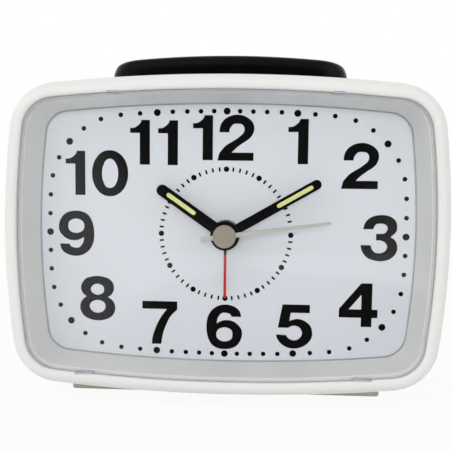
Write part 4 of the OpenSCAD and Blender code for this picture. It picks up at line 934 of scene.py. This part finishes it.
def foamRing(s):
    low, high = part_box("buzzer_ring")
    inner, outer = s["inner"], (high.x - low.x) / mm / 2
    middle = (low.x + high.x) / 2 / mm, ((low.z + high.z) / 2 - dialZ) / mm
    front, rear = (dialY - low.y) / mm, (dialY - high.y) / mm
    half, mid, soft = (outer - inner) / 2, (outer + inner) / 2, s["soft"]
    eased = soft * s["ease"]
    section = [(half, rear + soft), (half, front - soft), (half - eased, front - eased), (half - soft, front),
               (soft - half, front), (eased - half, front - eased), (-half, front - soft), (-half, rear + soft),
               (eased - half, rear + eased), (soft - half, rear), (half - soft, rear), (half - eased, rear + eased)]
    rings = [[(middle[0] + (mid + r) * math.cos(a), middle[1] + (mid + r) * math.sin(a), h) for r, h in section]
             for a in turnsOf(s["steps"])]
    bm = bmesh.new()
    skinRings(bm, rings, closed=True)
    ring = settle(meshObject("foamRing", bm), s["smooth"])
    finishPiece(ring, "case", "foam_black", ("buzzer_ring",))


woundPieces()
for run in leadRuns:
    leadPiece(leadForm, *run)
foamRing(foamForm)
print("springs, winding, leads and foam made")

# Studio: floor, backdrop and surround are white to the eye and in reflections, and the surround lights the piece softly
studio = {"floor": (0.86, 0.86, 0.86, 1), "shade": (0.8, 0.8, 0.79, 1), "lift": 0.93, "aim": (0, -0.02, 0.05),
          "floorBox": (-3000, 3000, -400, -dialZ / mm, -4000, 3000), "backBox": (-4000, 4000, -400, 4000, -2600, -2500),
          "horizon": 0.1, "rises": [("Z", 0.2, 0.8, 0.16), ("X", -0.06, -0.34, 0.95), ("X", 0.12, 0.6, 0.42)],
          "cardAt": (20, 150, 400), "cardHalf": (260, 240), "cardFade": (0.45, 0.95), "cardDark": 0.05,
          "cardFoot": 1, "cardThick": 2, "matAt": (40, 140), "matHalf": (110, 160), "matFade": (0.7, 1.0),
          "matNear": 25, "matLow": 0.5, "matTop": 1,
          "lamps": [("keyLamp", (-0.5, -0.9, 0.95), 0.9, 1.0), ("fillLamp", (1.0, -0.6, 0.75), 0.9, 1.9),
                    ("frontLamp", (0.1, -2.5, 0.42), 0.75, 19.0)]}


def seenRays(wiring):
    seen = wiring.make("ShaderNodeLightPath", out="Is Camera Ray")
    for other in ("Is Glossy Ray", "Is Transmission Ray"):
        seen = wiring.maths("MAXIMUM", seen, wiring.make("ShaderNodeLightPath", out=other))
    return seen


def cardFinish(name, middle, half, fade, dark):  # dark in the middle, white at the edges
    f = Finish(name)
    flat = f.moved(scale=[1 / size / mm if size else 0 for size in half],
                   shift=[-at / size if size else 0 for at, size in zip(middle, half)])
    level = f.eased(f.length(flat), *fade, dark, 1.0)
    return f.close(f.make("ShaderNodeEmission", {"Color": (1, 1, 1, 1), "Strength": level}))


def paperFinish(name, lift):  # reads white to the eye and in reflections, and still takes a soft shadow
    f = Finish(name)
    seen = seenRays(f)
    colour = f.blend(f.noise(4, 2) * 0.03, studio["floor"], studio["shade"])
    plain = f.make("ShaderNodeBsdfDiffuse", {"Color": colour})
    white = f.make("ShaderNodeEmission", {"Color": (1, 1, 1, 1), "Strength": 1.0})
    return f.close(f.make("ShaderNodeMixShader", {0: seen * lift, 1: plain, 2: white}))


def stageBox(name, box, finish):
    bm = bmesh.new()
    boxInto(bm, *box)
    obj = meshObject(name, bm)
    obj.data.materials.append(finish)
    return obj


def addStudio(s):
    floor = stageBox("studioFloor", s["floorBox"], paperFinish("studioPaper", s["lift"]))
    backdrop = stageBox("studioBackdrop", s["backBox"], paperFinish("studioBackPaper", 1.0))
    ground = -dialZ / mm
    (x, z, h), (wide, tall) = s["cardAt"], s["cardHalf"]
    card = stageBox("studioCard",
                    (x - wide, x + wide, ground + s["cardFoot"], ground + z + tall, h, h + s["cardThick"]),
                    cardFinish("studioCard", (x, 0, z), (wide, 0, tall), s["cardFade"], s["cardDark"]))
    (x, h), (wide, deep) = s["matAt"], s["matHalf"]
    mat = stageBox("studioMat",
                   (x - wide, x + wide, ground + s["matLow"], ground + s["matTop"], s["matNear"], h + deep),
                   cardFinish("studioMat", (x, dialY / mm - h, 0), (wide, deep, 0), s["matFade"], s["cardDark"]))
    for flag in (card, mat):  # only reflections see these, so that print and hands stay black behind the lens
        flag.visible_camera = flag.visible_diffuse = flag.visible_shadow = flag.visible_transmission = False
    world = bpy.data.worlds.new("studioWorld")
    world.use_nodes = True
    world.node_tree.nodes.clear()
    sky = Wiring(world.node_tree)
    way = sky.make("ShaderNodeTexCoord", out="Object")
    level = s["horizon"]
    for letter, low, high, gain in s["rises"]:
        part = sky.make("ShaderNodeSeparateXYZ", {"Vector": way}, out=letter)
        level = level + sky.eased(part, low, high, 0.0, gain)
    seen = seenRays(sky)
    level = level * (1 - seen) + seen
    sky.make("ShaderNodeOutputWorld", {"Surface": sky.make("ShaderNodeBackground", {
        "Color": (1, 1, 1, 1), "Strength": level})})
    bpy.context.scene.world = world
    aim = Vector(s["aim"])
    for name, place, size, power in s["lamps"]:
        light = bpy.data.lights.new(name, "AREA")
        light.shape, light.size, light.energy = "SQUARE", size, power
        lamp = linked(name, light)
        lamp.location = place
        lamp.visible_glossy = name != "frontLamp"  # keeps its square out of the lens
        lamp.rotation_euler = (aim - Vector(place)).to_track_quat("-Z", "Y").to_euler()
    bpy.context.scene.view_settings.view_transform = "Standard"


addStudio(studio)
bpy.context.view_layer.update()
print("scene ready")
